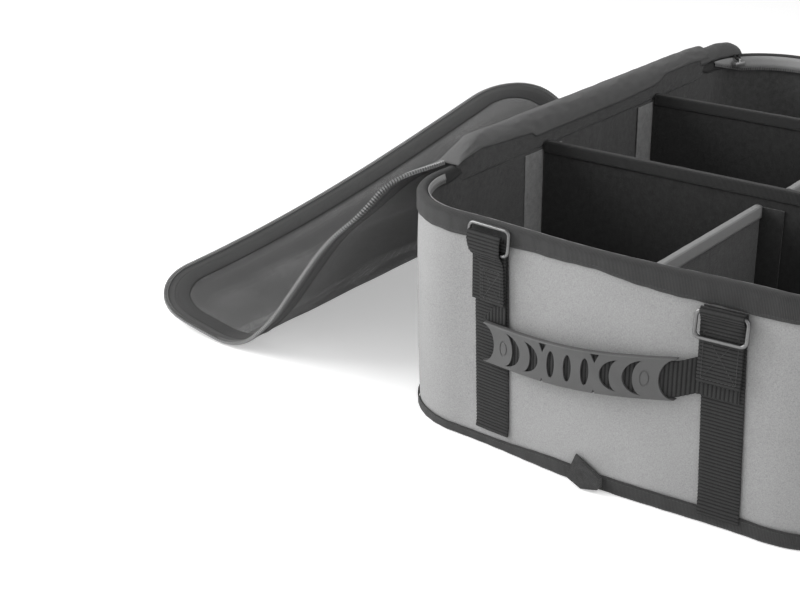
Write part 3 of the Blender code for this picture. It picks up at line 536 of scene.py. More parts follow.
# %% [markdown]
# ## The finishes
#
# Everything on the box is cloth of some kind, all in greys: a pale heathered wall fabric, dark felt, ribbed
# binding, herringbone webbing and a fine net. Close up each shows its own threads, and from a step away the
# threads give the cloth its grain. Patterns that run along a tape read its UV map, in metres, and the rest
# read object coordinates.

# %% Wall fabric and felt
WALL_THREAD = 0.0011


def wall_fabric():
    """Pale plain weave with fine darker and lighter flecks along the threads."""
    finish = Finish("wall_fabric", sheen=0.15, specular=0.25)
    along, up = finish.along_and_across()
    threads = weave(finish, along, up, WALL_THREAD)
    stretched = finish.noise(1.0, finish.place((620.0, 620.0, 2100.0)), 3.0, 0.6)
    level = finish.noise(1.0, finish.place((2000.0, 2000.0, 560.0)), 3.0, 0.6)
    cloud = finish.noise(9.0, finish.place(), 2.0)
    flecks = finish.clamp((stretched + level - 0.66) * 1.9, 0.0, 1.0)
    patches = finish.clamp((cloud - 0.3) * 2.2, 0.0, 1.0)
    colour = finish.mix(flecks * 0.66 + threads * 0.14 + patches * 0.20, 0.215, 0.425)
    return finish.paint(colour, 0.86 - threads * 0.08, threads + flecks * 0.6, 0.00022)


def felt(name, dark, light):
    """Matted fibres with no direction: clumps, and hairs that catch the light."""
    finish = Finish(name, sheen=0.25, specular=0.15)
    clumps = finish.noise(160.0, finish.place(), 4.0, 0.65)
    hairs = finish.noise(1.0, finish.place((900.0, 2100.0, 1400.0)), 3.0, 0.7)
    share = finish.clamp(clumps * 0.9 + hairs * 0.7 - 0.45, 0.0, 1.0)
    return finish.paint(finish.mix(share, dark, light), 0.95 - share * 0.08, clumps + hairs * 0.8, 0.0007)


WALL_CLOTH = wall_fabric()
FELT = felt("lining_felt", 0.044, 0.126)
BOARD_FELT = felt("divider_felt", 0.014, 0.042)
FLAP_FELT = felt("flap_felt", 0.020, 0.058)
BOARD = felt("board_fibre", 0.07, 0.12)
print("wall fabric and felt")

# %% [markdown]
# Webbing is woven in ribs that run straight across the band, a little over three millimetres apart, and each
# rib is a row of fine threads. The ribs are modelled further down, and the finish paints a highlight on their
# crowns and painted shade in the gaps, and draws the threads. Binding has finer ribs, which need no modelling.

# %% Webbing, binding and tapes
def webbing(name, pitch, dark, light):
    """Ribs across the band, with a painted highlight on their crowns and painted shade between them, made of
    fine threads.
    """
    finish = Finish(name, sheen=0.05, specular=0.15)
    along, across = finish.along_and_across()
    # painted highlight on the crowns of the modelled ribs; the gaps between them get painted shade
    crowns = finish.math("ABSOLUTE", finish.sine(along * (math.pi / pitch)))
    threads = finish.sine(across * (TURN / THREAD_PITCH) + along * (TURN / THREAD_PITCH * 0.35)) * 0.5 + 0.5
    fuzz = finish.noise(1400.0, finish.place(), 2.0)
    share = finish.clamp(crowns * (threads * 0.45 + 0.45) + fuzz * 0.30 - 0.15, 0.0, 1.0)
    return finish.paint(finish.mix(share, dark, light), 0.82 - share * 0.12, threads + fuzz * 0.5, 0.0003)


def ribbed_tape(name, pitch, dark, light, depth=0.0003):
    """Fine ribs across a tape with a faint lengthwise thread."""
    finish = Finish(name, sheen=0.15, specular=0.3)
    along, across = finish.along_and_across()
    ribs = finish.sine(along * (TURN / pitch)) * 0.5 + 0.5
    length_threads = finish.sine(across * (TURN / (0.7 * pitch))) * 0.5 + 0.5
    fuzz = finish.noise(900.0, finish.place(), 3.0)
    share = finish.clamp(ribs * 0.45 + length_threads * 0.25 + fuzz * 0.5 - 0.12, 0.0, 1.0)
    height = ribs + length_threads * 0.6
    return finish.paint(finish.mix(share, dark, light), 0.84 - share * 0.1, height, depth)


THREAD_PITCH = 0.00105
STRAP_RIB = 0.0033
HANDLE_RIB = 0.0038
STRAP_WEBBING = webbing("strap_webbing", STRAP_RIB, 0.006, 0.056)
HANDLE_WEBBING = webbing("handle_webbing", HANDLE_RIB, 0.006, 0.056)
BINDING = ribbed_tape("binding_tape", 0.0013, 0.014, 0.046)
DIVIDER_TAPE = ribbed_tape("divider_tape", 0.0013, 0.010, 0.032)
PALE_BINDING = ribbed_tape("pale_binding_tape", 0.0016, 0.16, 0.40)
BORDER_CLOTH = ribbed_tape("border_cloth", 0.0011, 0.018, 0.050)
ZIP_TAPE = ribbed_tape("zip_tape", 0.0014, 0.035, 0.090)
# painted sheen: the box's half of the zip tape is painted far paler than the lid's half above
BOX_ZIP_TAPE_PAINTED_SHEEN = ribbed_tape("box_zip_tape", 0.0014, 0.23, 0.54)
HOOK_TAPE = felt("hook_tape", 0.16, 0.40)
print("webbing, binding and tapes")

# %% [markdown]
# The net is a grid of holes under a millimetre and a half wide. Holes are drawn in the alpha channel, because
# real ones would be a million threads. The zip is nylon, the grip is moulded rubber, and the rings are plated
# wire with fine drawing marks.

# %% Net, nylon, rubber, wire and thread
NET_PITCH = 0.0016


def net():
    finish = Finish("lid_net", sheen=0.1, specular=0.3)
    along, across = finish.along_and_across()
    rows = finish.sine((along + across) * (TURN / NET_PITCH))
    columns = finish.sine((along - across) * (TURN / NET_PITCH))
    threads = finish.math("MAXIMUM", rows, columns)
    solid = finish.clamp((threads + 0.32) * 6.0, 0.0, 1.0)
    sheen = finish.noise(26.0, finish.place(), 3.0)
    share = finish.clamp(threads * 0.4 + sheen * 0.6, 0.0, 1.0)
    return finish.paint(finish.mix(share, 0.074, 0.142), 0.62, threads, 0.0003, alpha=solid)


def nylon(name, dark, light):
    finish = Finish(name, specular=0.5)
    drawn = finish.noise(700.0, finish.place(), 2.0)
    return finish.paint(finish.mix(drawn, dark, light), 0.30 + drawn * 0.12, drawn, 0.00005)


def rubber():
    """Matt moulded rubber: a fine even grain, a little shine where hands have rubbed it."""
    finish = Finish("grip_rubber", specular=0.35)
    grain = finish.noise(2600.0, finish.place(), 2.0)
    worn = finish.noise(38.0, finish.place(), 2.0)
    colour = finish.mix(worn * 0.6 + grain * 0.4, 0.060, 0.112)
    return finish.paint(colour, 0.58 - worn * 0.12, grain, 0.00012)


def wire(name, dark, light):
    """Plated metal with fine drawing marks."""
    finish = Finish(name, metallic=1.0)
    drawn = finish.noise(1.0, finish.place((300.0, 2600.0, 2600.0)), 2.0)
    return finish.paint(finish.mix(drawn, dark, light), 0.27 + drawn * 0.16, drawn, 0.00004)


def thread(name, dark, light):
    """Twisted sewing thread."""
    finish = Finish(name, sheen=0.2)
    twist = finish.noise(2200.0, finish.place(), 2.0)
    return finish.paint(finish.mix(twist, dark, light), 0.7, twist, 0.00008)


NET = net()
COIL_NYLON = nylon("zip_coil", 0.16, 0.36)
RUBBER = rubber()
WIRE = wire("plated_wire", 0.09, 0.26)
SLIDER_METAL = wire("slider_metal", 0.45, 0.75)
DARK_THREAD = thread("dark_thread", 0.020, 0.050)
PALE_THREAD = thread("pale_thread", 0.22, 0.42)
CORD = thread("pull_cord", 0.008, 0.028)
print("net, nylon, rubber, wire and thread")

# %% [markdown]
# ## The walls
#
# The box is sewn as a tube: one long strip of cloth runs round a rectangle with large round corners, and the
# two short walls swell a little in their middles. Every layer follows the same line at its own depth, so one
# function gives that line. A strip is laid along it in columns, and the cloth gets soft hollows between its
# stiffening board's edges from a smooth noise. That keeps the weave running level all the way round.

# %% The line round the box
wall_low, wall_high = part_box("wall_shell")
rim_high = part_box("rim_binding")[1]
WIDTH = 2 * wall_high.x
HEIGHT = rim_high.z
LENGTH = 0.750
CORNER_RADIUS = 0.088
CORNER_X = WIDTH / 2 - CORNER_RADIUS
CORNER_Y = LENGTH / 2 - CORNER_RADIUS
END_WALL_BOW = 0.009
CORNER_STEPS = 36
END_STEPS = 96
SIDE_STEPS = 44


def end_bow(x):
    """How far a short wall swells outwards at x."""
    if abs(x) >= CORNER_X:
        return 0.0
    share = (x + CORNER_X) / (2 * CORNER_X)
    return END_WALL_BOW * (1 - math.cos(TURN * share)) / 2


def wall_y(x, offset):
    """Y of a point that stands the given offset outside the front wall."""
    return -LENGTH / 2 - end_bow(x) - offset


def box_line(inset):
    """The box's outline at a depth inside its face, from the middle of the left wall, round the front."""
    radius = CORNER_RADIUS - inset
    half = [(-WIDTH / 2 + inset, -CORNER_Y * step / SIDE_STEPS) for step in range(SIDE_STEPS)]
    for step in range(CORNER_STEPS + 1):
        angle = math.pi + math.pi / 2 * step / CORNER_STEPS
        half.append((-CORNER_X + radius * math.cos(angle), -CORNER_Y + radius * math.sin(angle)))
    for step in range(1, END_STEPS):
        x = -CORNER_X + 2 * CORNER_X * step / END_STEPS
        half.append((x, -LENGTH / 2 + inset - end_bow(x)))
    for step in range(CORNER_STEPS + 1):
        angle = 3 * math.pi / 2 + math.pi / 2 * step / CORNER_STEPS
        half.append((CORNER_X + radius * math.cos(angle), -CORNER_Y + radius * math.sin(angle)))
    half += [(WIDTH / 2 - inset, -CORNER_Y * (1 - step / SIDE_STEPS)) for step in range(1, SIDE_STEPS)]
    return half + [(-x, -y) for x, y in half] + [half[0]]


def round_the_box(name, section, hollow=None, rise=None):
    """A strip round the box. The section lists (inset, z).

    Hollow gives how far a point moves inwards and rise how far it moves up.
    """
    lines = [box_line(inset) for inset, z in section]
    columns = []
    for index in range(len(lines[0])):
        column = []
        for line, (inset, z) in zip(lines, section):
            x, y = line[index]
            before, after = line[index - 1 if index else -2], line[index + 1 if index + 1 < len(line) else 1]
            inwards = Vector((before[1] - after[1], after[0] - before[0])).normalized()
            shift = hollow(x, y, z) if hollow else 0.0
            level = z + (rise(x, y, z) if rise else 0.0)
            column.append((x + inwards.x * shift, y + inwards.y * shift, level))
        columns.append(column)
    return cloth_strip(name, columns, closed=True)


print("line round the box has", len(box_line(0.0)), "points")

# %% [markdown]
# The outer cloth is one strip. It is pulled tight over board, so its hollows are under a millimetre, and it
# stays behind the straps where they are sewn on. Away from the straps, on the round corners and the long
# walls, it stands a little prouder half way up.

# %% Outer cloth
CLOTH_THICKNESS = 1.2 * MILLIMETRE
WALL_ROWS = 30
SOFT_HOLLOW = 0.6 * MILLIMETRE
SIDE_PUFF = 1.8 * MILLIMETRE
STRAP_ZONE = 0.15
ZONE_FADE = 0.06


def wall_hollow(x, y, z):
    """Soft hollows everywhere, and a slight swell on the long walls and the corners."""
    ripple = noise(Vector((x * 14, y * 14, z * 9))) * 0.6 + noise(Vector((x * 36, y * 36, z * 20 + 5))) * 0.4
    away = clamped((abs(x) - STRAP_ZONE) / ZONE_FADE)
    swell = SIDE_PUFF * away * math.sin(math.pi * clamped(z / HEIGHT))
    return SOFT_HOLLOW * (0.5 + ripple) * (1 + 1.6 * away) - swell


rows = [wall_high.z - (wall_high.z - wall_low.z) * row / WALL_ROWS for row in range(WALL_ROWS + 1)]
outer_cloth = round_the_box("outer_cloth", [(0.0, z) for z in rows], wall_hollow)
thicken(outer_cloth, CLOTH_THICKNESS, offset=-1.0)
dress(outer_cloth, "box", "wall_fabric", WALL_CLOTH, "wall_shell")
print("outer cloth:", len(outer_cloth.data.polygons), "faces")

# %% [markdown]
# Inside, the lining is felt, loose enough to hang in shallow upright folds. The folds go outwards into the
# room that the felt has, so that the dividers' tabs still lie against it. The floor is the same felt over a
# board: a plane with rounded corners, inset and puffed at its edge, where it turns down beside the board.

# %% Lining
LINING_INSIDE = 7.8 * MILLIMETRE
LINING_DEPTH = 1.7 * MILLIMETRE
FELT_THICKNESS = 1.0 * MILLIMETRE
LINING_ROWS = 22
CREASES = ((-0.2360, 0.3130), (-0.1800, 0.3630))
CREASE_HALF = 3.6 * MILLIMETRE
CREASE_LEAN = 0.06
CREASE_STRENGTH = 2.2


def lining_fold(x, y, z):
    """Upright folds that lean a little, deeper away from the ends of the dividers."""
    around = math.atan2(y, x) * 0.30
    lean = z * 0.5
    fold = noise(Vector((around * 40 + lean * 8, lean * 3, 1.0)))
    crease = noise(Vector((x * 22 + 9, y * 22, z * 5)))
    for crease_x, crease_y in CREASES:
        away = math.hypot(x - crease_x, y - crease_y - (z - HEIGHT) * CREASE_LEAN)
        crease += CREASE_STRENGTH * max(0.0, 1 - away / CREASE_HALF)
    return -LINING_DEPTH * clamped(0.35 + fold * 0.55 + crease * 0.45)


lining_low, lining_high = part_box("wall_lining")
floor_low, floor_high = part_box("base_lining")
drop_each = (lining_high.z - lining_low.z) / LINING_ROWS
levels = [lining_low.z + drop_each * row for row in range(LINING_ROWS + 1)]
wall_felt = round_the_box("wall_felt", [(LINING_INSIDE, z) for z in levels], lining_fold)
thicken(wall_felt, FELT_THICKNESS, offset=-1.0)
dress(wall_felt, "box", "felt", FELT, "wall_lining")
print("wall lining:", len(wall_felt.data.polygons), "faces")


def rounded_plate(name, inset, bottom, top, rounding, material, slot, node):
    """A flat sheet with the box's outline: a plane, its corners rounded, extruded up and softened."""
    bpy.ops.object.select_all(action="DESELECT")
    bpy.ops.mesh.primitive_plane_add(size=1.0, location=(0.0, 0.0, bottom))
    piece = bpy.context.object
    piece.scale = (WIDTH - 2 * inset, LENGTH - 2 * inset, 1.0)
    bpy.ops.object.transform_apply(location=False, rotation=False, scale=True)
    start_edit(piece)
    bpy.ops.mesh.select_all(action="SELECT")
    bpy.ops.mesh.bevel(offset=CORNER_RADIUS - inset, segments=CORNER_STEPS, affect="VERTICES")
    pick(piece, "EDGE", lambda middle, edge: edge.calc_length() > 0.2)
    bpy.ops.mesh.subdivide(number_cuts=17)
    bpy.ops.mesh.select_all(action="SELECT")
    bpy.ops.mesh.extrude_region_move(TRANSFORM_OT_translate={"value": (0.0, 0.0, top - bottom)})
    bpy.ops.mesh.inset(thickness=2.5 * rounding)
    turn_faces_out()
    end_edit()
    for vert in piece.data.vertices:
        x, y = vert.co.x, vert.co.y
        if abs(y) > LENGTH / 2 - inset - 4 * rounding:
            vert.co.y += math.copysign(end_bow(x), y)
    apply_modifier(piece, "BEVEL", width=rounding, segments=3, angle_limit=math.radians(60))
    settle(piece, name)
    return dress(piece, "box", slot, material, node)


panel_low, panel_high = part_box("base_panel")
floor_inset = WIDTH / 2 - floor_high.x
rounded_plate("floor_felt", floor_inset, floor_low.z, floor_high.z, 0.6 * MILLIMETRE, FELT, "felt",
              "base_lining")
rounded_plate("underside_cloth", 0.0, panel_low.z, panel_high.z, 0.5 * MILLIMETRE, WALL_CLOTH,
              "wall_fabric", "base_panel")
nodes["base_board"].data.materials.clear()
nodes["base_board"].data.materials.append(BOARD)
nodes["wall_stiffener"].data.materials.clear()
nodes["wall_stiffener"].data.materials.append(BOARD)
print("floor felt, underside cloth and boards")

# %% [markdown]
# A tape folded over the rim closes the layers, and another runs round the foot. Each is sewn with a row of
# stitches near its hem, which pulls the tape in between the stitches, so the tape's face has a faint ripple.
# One stitch is a small bar with rounded ends. It is modelled once and laid along the seam.

# %% A stitch and a seam
STITCH_LENGTH = 3.0 * MILLIMETRE
STITCH_PITCH = 4.0 * MILLIMETRE
STITCH_WIDTH = 0.55 * MILLIMETRE


def make_stitch(length, width):
    """A flattened bar whose ends dip into the cloth."""
    piece = make_block((0.0, 0.0, 0.0), (length, width, width * 0.8))
    start_edit(piece)
    pick(piece, "EDGE", lambda middle, edge: edge.calc_length() > length * 0.9)
    bpy.ops.mesh.subdivide(number_cuts=2)
    end_edit()
    for vert in piece.data.vertices:
        if abs(vert.co.x) > length * 0.4:
            vert.co.z -= width * 0.45
            vert.co.y *= 0.6
    return settle(piece, "stitch_pattern")


def seam(name, path, up, pitch=STITCH_PITCH, closed=False, pattern=None):
    """Lay stitches along a path of points. Up is a function from a point to the cloth's outward direction."""
    stitch = pattern or make_stitch(STITCH_LENGTH, STITCH_WIDTH)
    places = [turned_to(heading, up(at), at) for at, heading in even_points(path, pitch, closed)]
    piece = repeat(name, stitch, places)
    if pattern is None:
        drop(stitch)
    return piece


def from_the_box(at):
    """Outward direction of the box's walls at a point."""
    corner = Vector((max(-CORNER_X, min(CORNER_X, at.x)), max(-CORNER_Y, min(CORNER_Y, at.y)), 0.0))
    away = Vector((at.x, at.y, 0.0)) - corner
    return away.normalized() if away.length > 1e-6 else Vector((0.0, 1.0, 0.0))


print("stitch", STITCH_LENGTH, "m long every", STITCH_PITCH, "m")

# %% Rim tape and foot tape
TAPE_OUT = 1.7 * MILLIMETRE
RIM_INSIDE = 9.5 * MILLIMETRE
RIM_OUTER_HEM = 19.0 * MILLIMETRE
RIM_INNER_HEM = 14.0 * MILLIMETRE
RIM_ROUND = 4.6 * MILLIMETRE
ARC_STEPS = 6
HEM_RIPPLE = 0.35 * MILLIMETRE
PUCKER_RUN = 0.021
TAPE_THICKNESS = 1.0 * MILLIMETRE
RIM_SEAM_UP = 2.8 * MILLIMETRE
FOOT_SEAM_DOWN = 2.6 * MILLIMETRE
HEM_DROPS = ((-0.250, 0.0), (-0.153, 1.5), (-0.067, -2.0), (-0.004, -3.0), (0.055, 3.0), (0.152, 5.0),
             (0.250, 2.0))
HEM_WANDER = 1.2 * MILLIMETRE
RIM_TUCK = 8.0 * MILLIMETRE
TUCK_END = 0.275
TUCK_RUN = 0.030
TUCK_SIDE = -0.200
FOOT_NARROW = 6.0 * MILLIMETRE
NARROW_START = -0.030
NARROW_END = -0.125


def between(table, x):
    """Read a table of (x, value) pairs at x, straight between its pairs."""
    for (before, low), (after, high) in zip(table, table[1:]):
        if x <= after:
            return low + (high - low) * clamped((x - before) / (after - before))
    return table[-1][1]


def hem_drop(x, y):
    """How far the rim tape's outer hem wanders down: it wasn't sewn on quite level."""
    wander = HEM_WANDER * noise(Vector((x * 60, y * 60, 1.5)))
    return wander + (between(HEM_DROPS, x) * MILLIMETRE if y < 0 else 0.0)


def rim_rise(x, y, z):
    """The outer hem wanders, and the inner hem is tucked up under the hinge band along the left wall."""
    low = HEIGHT - RIM_ROUND
    if z > low:
        return 0.0
    if math.hypot(max(0.0, abs(x) - CORNER_X), max(0.0, abs(y) - CORNER_Y)) > CORNER_RADIUS:
        return -hem_drop(x, y) * (low - z) / (RIM_OUTER_HEM - RIM_ROUND)
    tucked = clamped((TUCK_END - abs(y)) / TUCK_RUN) if x < TUCK_SIDE else 0.0
    return RIM_TUCK * tucked * (low - z) / (RIM_INNER_HEM - RIM_ROUND)


def foot_drop(x):
    """How much lower the foot tape's hem is at x: the tape shows less of itself round the left corners."""
    return FOOT_NARROW * eased(clamped((NARROW_START - x) / (NARROW_START - NARROW_END)))


def foot_rise(x, y, z):
    return -foot_drop(x) * (z - foot_low.z) / (foot_high.z - foot_low.z)


def pucker(x, y, z):
    """The slight pull of the stitches along a tape."""
    run = (x - y) * TURN / PUCKER_RUN
    return HEM_RIPPLE * (0.5 * math.sin(run) + noise(Vector((x * 45, y * 45, z * 30))))


def rim_section():
    """From the inner hem up, over the rim in a half round and down to the outer hem."""
    middle = (RIM_INSIDE - TAPE_OUT) / 2
    section = [(RIM_INSIDE, HEIGHT - RIM_INNER_HEM * (1 - step / 3)) for step in range(3)]
    for step in range(2 * ARC_STEPS + 1):
        angle = math.pi * step / (2 * ARC_STEPS)
        across = middle + (RIM_INSIDE + TAPE_OUT) / 2 * math.cos(angle)
        section.append((across, HEIGHT - RIM_ROUND + RIM_ROUND * math.sin(angle)))
    low = HEIGHT - RIM_ROUND
    outside = [low - (RIM_OUTER_HEM - RIM_ROUND) * step / 5 for step in range(1, 6)]
    return section + [(-TAPE_OUT, z) for z in outside]


rim_tape = round_the_box("rim_tape", rim_section(), pucker, rim_rise)
thicken(rim_tape, TAPE_THICKNESS, offset=-1.0)
dress(rim_tape, "box", "binding", BINDING, "rim_binding")
foot_low, foot_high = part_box("base_binding")
foot_levels = [foot_high.z - (foot_high.z - foot_low.z) * step / 6 for step in range(7)]
foot_tape = round_the_box("foot_tape", [(-TAPE_OUT, z) for z in foot_levels], pucker, foot_rise)
thicken(foot_tape, TAPE_THICKNESS, offset=-1.0)
dress(foot_tape, "box", "binding", BINDING, "base_binding")

edge_line = box_line(-TAPE_OUT)
rim_row = [(x, y, HEIGHT - RIM_OUTER_HEM + RIM_SEAM_UP - hem_drop(x, y)) for x, y in edge_line]
foot_row = [(x, y, foot_high.z - FOOT_SEAM_DOWN - foot_drop(x)) for x, y in edge_line]
dress(seam("rim_seam_outside", rim_row, from_the_box), "box", "binding", DARK_THREAD)
dress(seam("foot_seam", foot_row, from_the_box), "box", "binding", DARK_THREAD)
print("rim tape, foot tape and their seams")

# %% [markdown]
# ## The lid
#
# The lid is a panel of net with a cloth border and half of a zip round its edge. It is thrown open over the
# left wall and hangs down to the floor. Its shape is one smooth curve that changes from the near end, where
# it slants down, to the far end, where it drops straight and curls out. The curve is given by its slope at a
# few distances from the hinge. Adding the slopes up step by step keeps the cloth's length true, so the net
# isn't stretched anywhere.

# %% The hanging curve
LID_WIDTH = 0.484
LID_LENGTH = 0.744
LID_HINGE_CORNER = 0.105
LID_OUTER_CORNER = 0.088
LID_STATIONS = (0.0, 0.07, 0.15, 0.30, 0.44, 0.58, 0.72, 0.86, 1.0)
LID_NEAR_SLOPES = (5, 67, 43, 53, 53, 41, -8, -10, -17)
LID_FAR_SLOPES = (5, 84, 84, 57, 20, -14, -34, -34, -10)
LID_NEAR_FLARE = 0.004
LID_DROOP_POWER = 1.83
HINGE_X = -WIDTH / 2 - 0.005
HINGE_Z = HEIGHT + 0.002
SLOPE_STEPS = 48


def lid_slope(share, droop):
    """Slope of the lid in radians at a share of its width, between its near and far curves."""
    span = 1
    while span < len(LID_STATIONS) - 1 and share > LID_STATIONS[span]:
        span += 1
    start, end = LID_STATIONS[span - 1], LID_STATIONS[span]
    blend = (share - start) / (end - start)
    near = LID_NEAR_SLOPES[span - 1] + (LID_NEAR_SLOPES[span] - LID_NEAR_SLOPES[span - 1]) * blend
    far = LID_FAR_SLOPES[span - 1] + (LID_FAR_SLOPES[span] - LID_FAR_SLOPES[span - 1]) * blend
    return math.radians(near + (far - near) * droop)


def lid_place(across, along, lift=0.0):
    """Where a point of the flat lid hangs. Across is measured from the hinge, along from the middle."""
    far_share = min(max(along / LID_LENGTH + 0.5, 0.0), 1.0)
    droop = far_share ** LID_DROOP_POWER
    x, z = HINGE_X, HINGE_Z
    step = across / SLOPE_STEPS
    for index in range(SLOPE_STEPS):
        angle = lid_slope(step * (index + 0.5) / LID_WIDTH, droop)
        x -= step * math.cos(angle)
        z -= step * math.sin(angle)
    angle = lid_slope(across / LID_WIDTH, droop)
    y = along + LID_NEAR_FLARE * (across / LID_WIDTH) ** 2 * (1 - far_share)
    return Vector((x - lift * math.sin(angle), y, z + lift * math.cos(angle)))


def lid_up(across, along):
    """The lid's outward direction at a flat point."""
    return (lid_place(across, along, 0.01) - lid_place(across, along)).normalized()


LID_SIDE_STEPS = 34
LID_CORNER_STEPS = 12
LID_COLUMNS = 56


def lid_side(inset):
    """The near edge of the flat lid, from the hinge to the outer edge, as (across, along)."""
    points = []
    half = LID_LENGTH / 2
    for step in range(LID_CORNER_STEPS + 1):
        angle = math.pi / 2 * step / LID_CORNER_STEPS
        radius = LID_HINGE_CORNER - inset
        across = LID_HINGE_CORNER - radius * math.cos(angle)
        points.append((across, -half + LID_HINGE_CORNER - radius * math.sin(angle)))
    run = LID_WIDTH - LID_HINGE_CORNER - LID_OUTER_CORNER
    for step in range(1, LID_SIDE_STEPS):
        points.append((LID_HINGE_CORNER + run * step / LID_SIDE_STEPS, -half + inset))
    for step in range(LID_CORNER_STEPS + 1):
        angle = math.pi / 2 * step / LID_CORNER_STEPS
        radius = LID_OUTER_CORNER - inset
        across = LID_WIDTH - LID_OUTER_CORNER + radius * math.sin(angle)
        points.append((across, -half + LID_OUTER_CORNER - radius * math.cos(angle)))
    return points


def lid_line(inset):
    """The lid's edge from the hinge's near end, round the outer side, to the hinge's far end."""
    near = lid_side(inset)
    across, along = near[-1]
    outer = [(across, along * (1 - 2 * step / LID_COLUMNS)) for step in range(1, LID_COLUMNS)]
    return near + outer + [(a, -b) for a, b in reversed(near)]


print("lid hangs down to", round(min(lid_place(a, b).z for a, b in lid_line(0.0)) * 1000, 1), "mm")

# %% [markdown]
# The net is a grid, wide at the outer edge and narrower at the hinge, with the border's round corners. Net
# hangs in small soft waves, which come from noise along the lid's outward direction. The border lies on it:
# a band between two lines round the edge. Each band of the lid rides on the lid's body. On the real box each
# band is stretched level when the lid is zipped shut.

# %% Net panel
COIL_WIDTH = 2.8 * MILLIMETRE
LID_TAPE_WIDTH = 10.0 * MILLIMETRE
LID_BORDER_WIDTH = 18.0 * MILLIMETRE
LAYER_GAP = 0.3 * MILLIMETRE
TAPE_EDGE = COIL_WIDTH + LAYER_GAP
BORDER_EDGE = TAPE_EDGE + LID_TAPE_WIDTH
NET_EDGE = BORDER_EDGE + LID_BORDER_WIDTH
NET_TUCK = 4.0 * MILLIMETRE
NET_SIDE = NET_EDGE - NET_TUCK
NET_THICKNESS = 0.5 * MILLIMETRE
NET_WAVE = 2.2 * MILLIMETRE
WAVE_FADE = 0.03


def net_wave(across, along):
    """Soft waves of the net, none where it is sewn to the border."""
    near_edge = min(LID_WIDTH - NET_EDGE - across, across - NET_EDGE, LID_LENGTH / 2 - NET_EDGE - abs(along))
    free = clamped(near_edge / WAVE_FADE)
    broad = noise(Vector((across * 9, along * 5, 2.0)))
    fine = noise(Vector((across * 24, along * 17, 7.0)))
    return NET_WAVE * free * (broad + 0.5 * fine)


def lay_on_lid(piece, body_slot, material, *replaced):
    """Dress a piece of the lid and give it its own mesh."""
    dress(piece, "lid", body_slot, material, *replaced)
    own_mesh(piece)
    return piece


def make_net():
    columns = []
    for across, along in lid_side(NET_SIDE):
        spots = [along * (1 - 2 * step / LID_COLUMNS) for step in range(LID_COLUMNS + 1)]
        columns.append([lid_place(across, spot, net_wave(across, spot)) for spot in spots])
    piece = cloth_strip("net_panel", columns)
    thicken(piece, NET_THICKNESS)
    return lay_on_lid(piece, "net", NET, "lid_mesh")


net_panel = make_net()
net_cut = (LID_WIDTH - 2 * NET_SIDE, LID_LENGTH - 2 * NET_SIDE)
corner_loss = (2 - math.pi / 2) * ((LID_HINGE_CORNER - NET_SIDE) ** 2 + (LID_OUTER_CORNER - NET_SIDE) ** 2)
print("net panel:", len(net_panel.data.polygons), "faces")

# %% Border, zip tape and edge cord
BORDER_THICKNESS = 1.6 * MILLIMETRE
BORDER_PUFF = 0.7 * MILLIMETRE
ZIP_TAPE_THICKNESS = 0.8 * MILLIMETRE


def lid_band(name, outer_inset, inner_inset, steps, puff, closed):
    """A strip of the lid between two lines that follow its edge."""
    lines = []
    for step in range(steps + 1):
        line = lid_line(outer_inset + (inner_inset - outer_inset) * step / steps)
        if closed:
            across = LAYER_GAP + inner_inset * step / steps
            reach = line[-1][1]
            line = line + [(across, reach * (1 - 2 * k / LID_COLUMNS)) for k in range(1, LID_COLUMNS)]
            line.append(line[0])
        lines.append(line)
    columns = []
    for index in range(len(lines[0])):
        column = []
        for step, line in enumerate(lines):
            across, along = line[index]
            crown = puff * math.sin(math.pi * step / steps)
            ripple = HEM_RIPPLE * noise(Vector((across * 40, along * 40, step * 0.3)))
            column.append(lid_place(across, along, crown + ripple))
        columns.append(column)
    return cloth_strip(name, columns, closed=closed)


border = lid_band("lid_border_cloth", BORDER_EDGE - LAYER_GAP, NET_EDGE, 5, BORDER_PUFF, True)
thicken(border, BORDER_THICKNESS, round_edge=0.3 * MILLIMETRE)
lay_on_lid(border, "border_fabric", BORDER_CLOTH, "lid_border")
lid_tape = lid_band("lid_tape", TAPE_EDGE - 1.2 * MILLIMETRE, BORDER_EDGE + 2.0 * MILLIMETRE, 3, 0.0, False)
thicken(lid_tape, ZIP_TAPE_THICKNESS)
lay_on_lid(lid_tape, "zip_tape", ZIP_TAPE, "lid_zip_tape")
net_cut[0] * net_cut[1] - corner_loss
print("border and zip tape of the lid")

# %% [markdown]
# A nylon zip is a wound thread: each turn looks like a short bar across the tape's edge with a bead at its
# tip. Hundreds of turns need a light shape, so one turn is a six-sided bar with a wider head. It is laid
# every three millimetres along the lid's edge and again along the box's rim. On the lid a dark strip fills
# the room between the turns, in the place of the cord that a real coil is wound round.

# %% Zip teeth
TOOTH_PITCH = 3.0 * MILLIMETRE
TOOTH_LENGTH = 4.4 * MILLIMETRE
TOOTH_THICKNESS = 1.7 * MILLIMETRE
LID_COIL_HEIGHT = 4.4 * MILLIMETRE
CORE_HEIGHT = 3.2 * MILLIMETRE


def make_tooth(height):
    """One turn of the coil, lying across the tape along Y, with its head at +Y."""
    bpy.ops.mesh.primitive_cylinder_add(vertices=6, radius=TOOTH_THICKNESS / 2, depth=TOOTH_LENGTH)
    piece = bpy.context.object
    piece.rotation_euler = (math.pi / 2, 0.0, 0.0)
    bpy.ops.object.transform_apply(location=False, rotation=True, scale=False)
    start_edit(piece)
    pick(piece, "FACE", lambda middle, normal: normal.y > 0.9)
    bpy.ops.mesh.inset(thickness=-0.25 * MILLIMETRE)
    bpy.ops.mesh.extrude_region_move(TRANSFORM_OT_translate={"value": (0.0, 0.5 * MILLIMETRE, 0.0)})
    bpy.ops.mesh.inset(thickness=0.4 * MILLIMETRE)
    end_edit()
    piece.scale.z = height / TOOTH_THICKNESS
    return settle(piece, "tooth_pattern", 60.0)


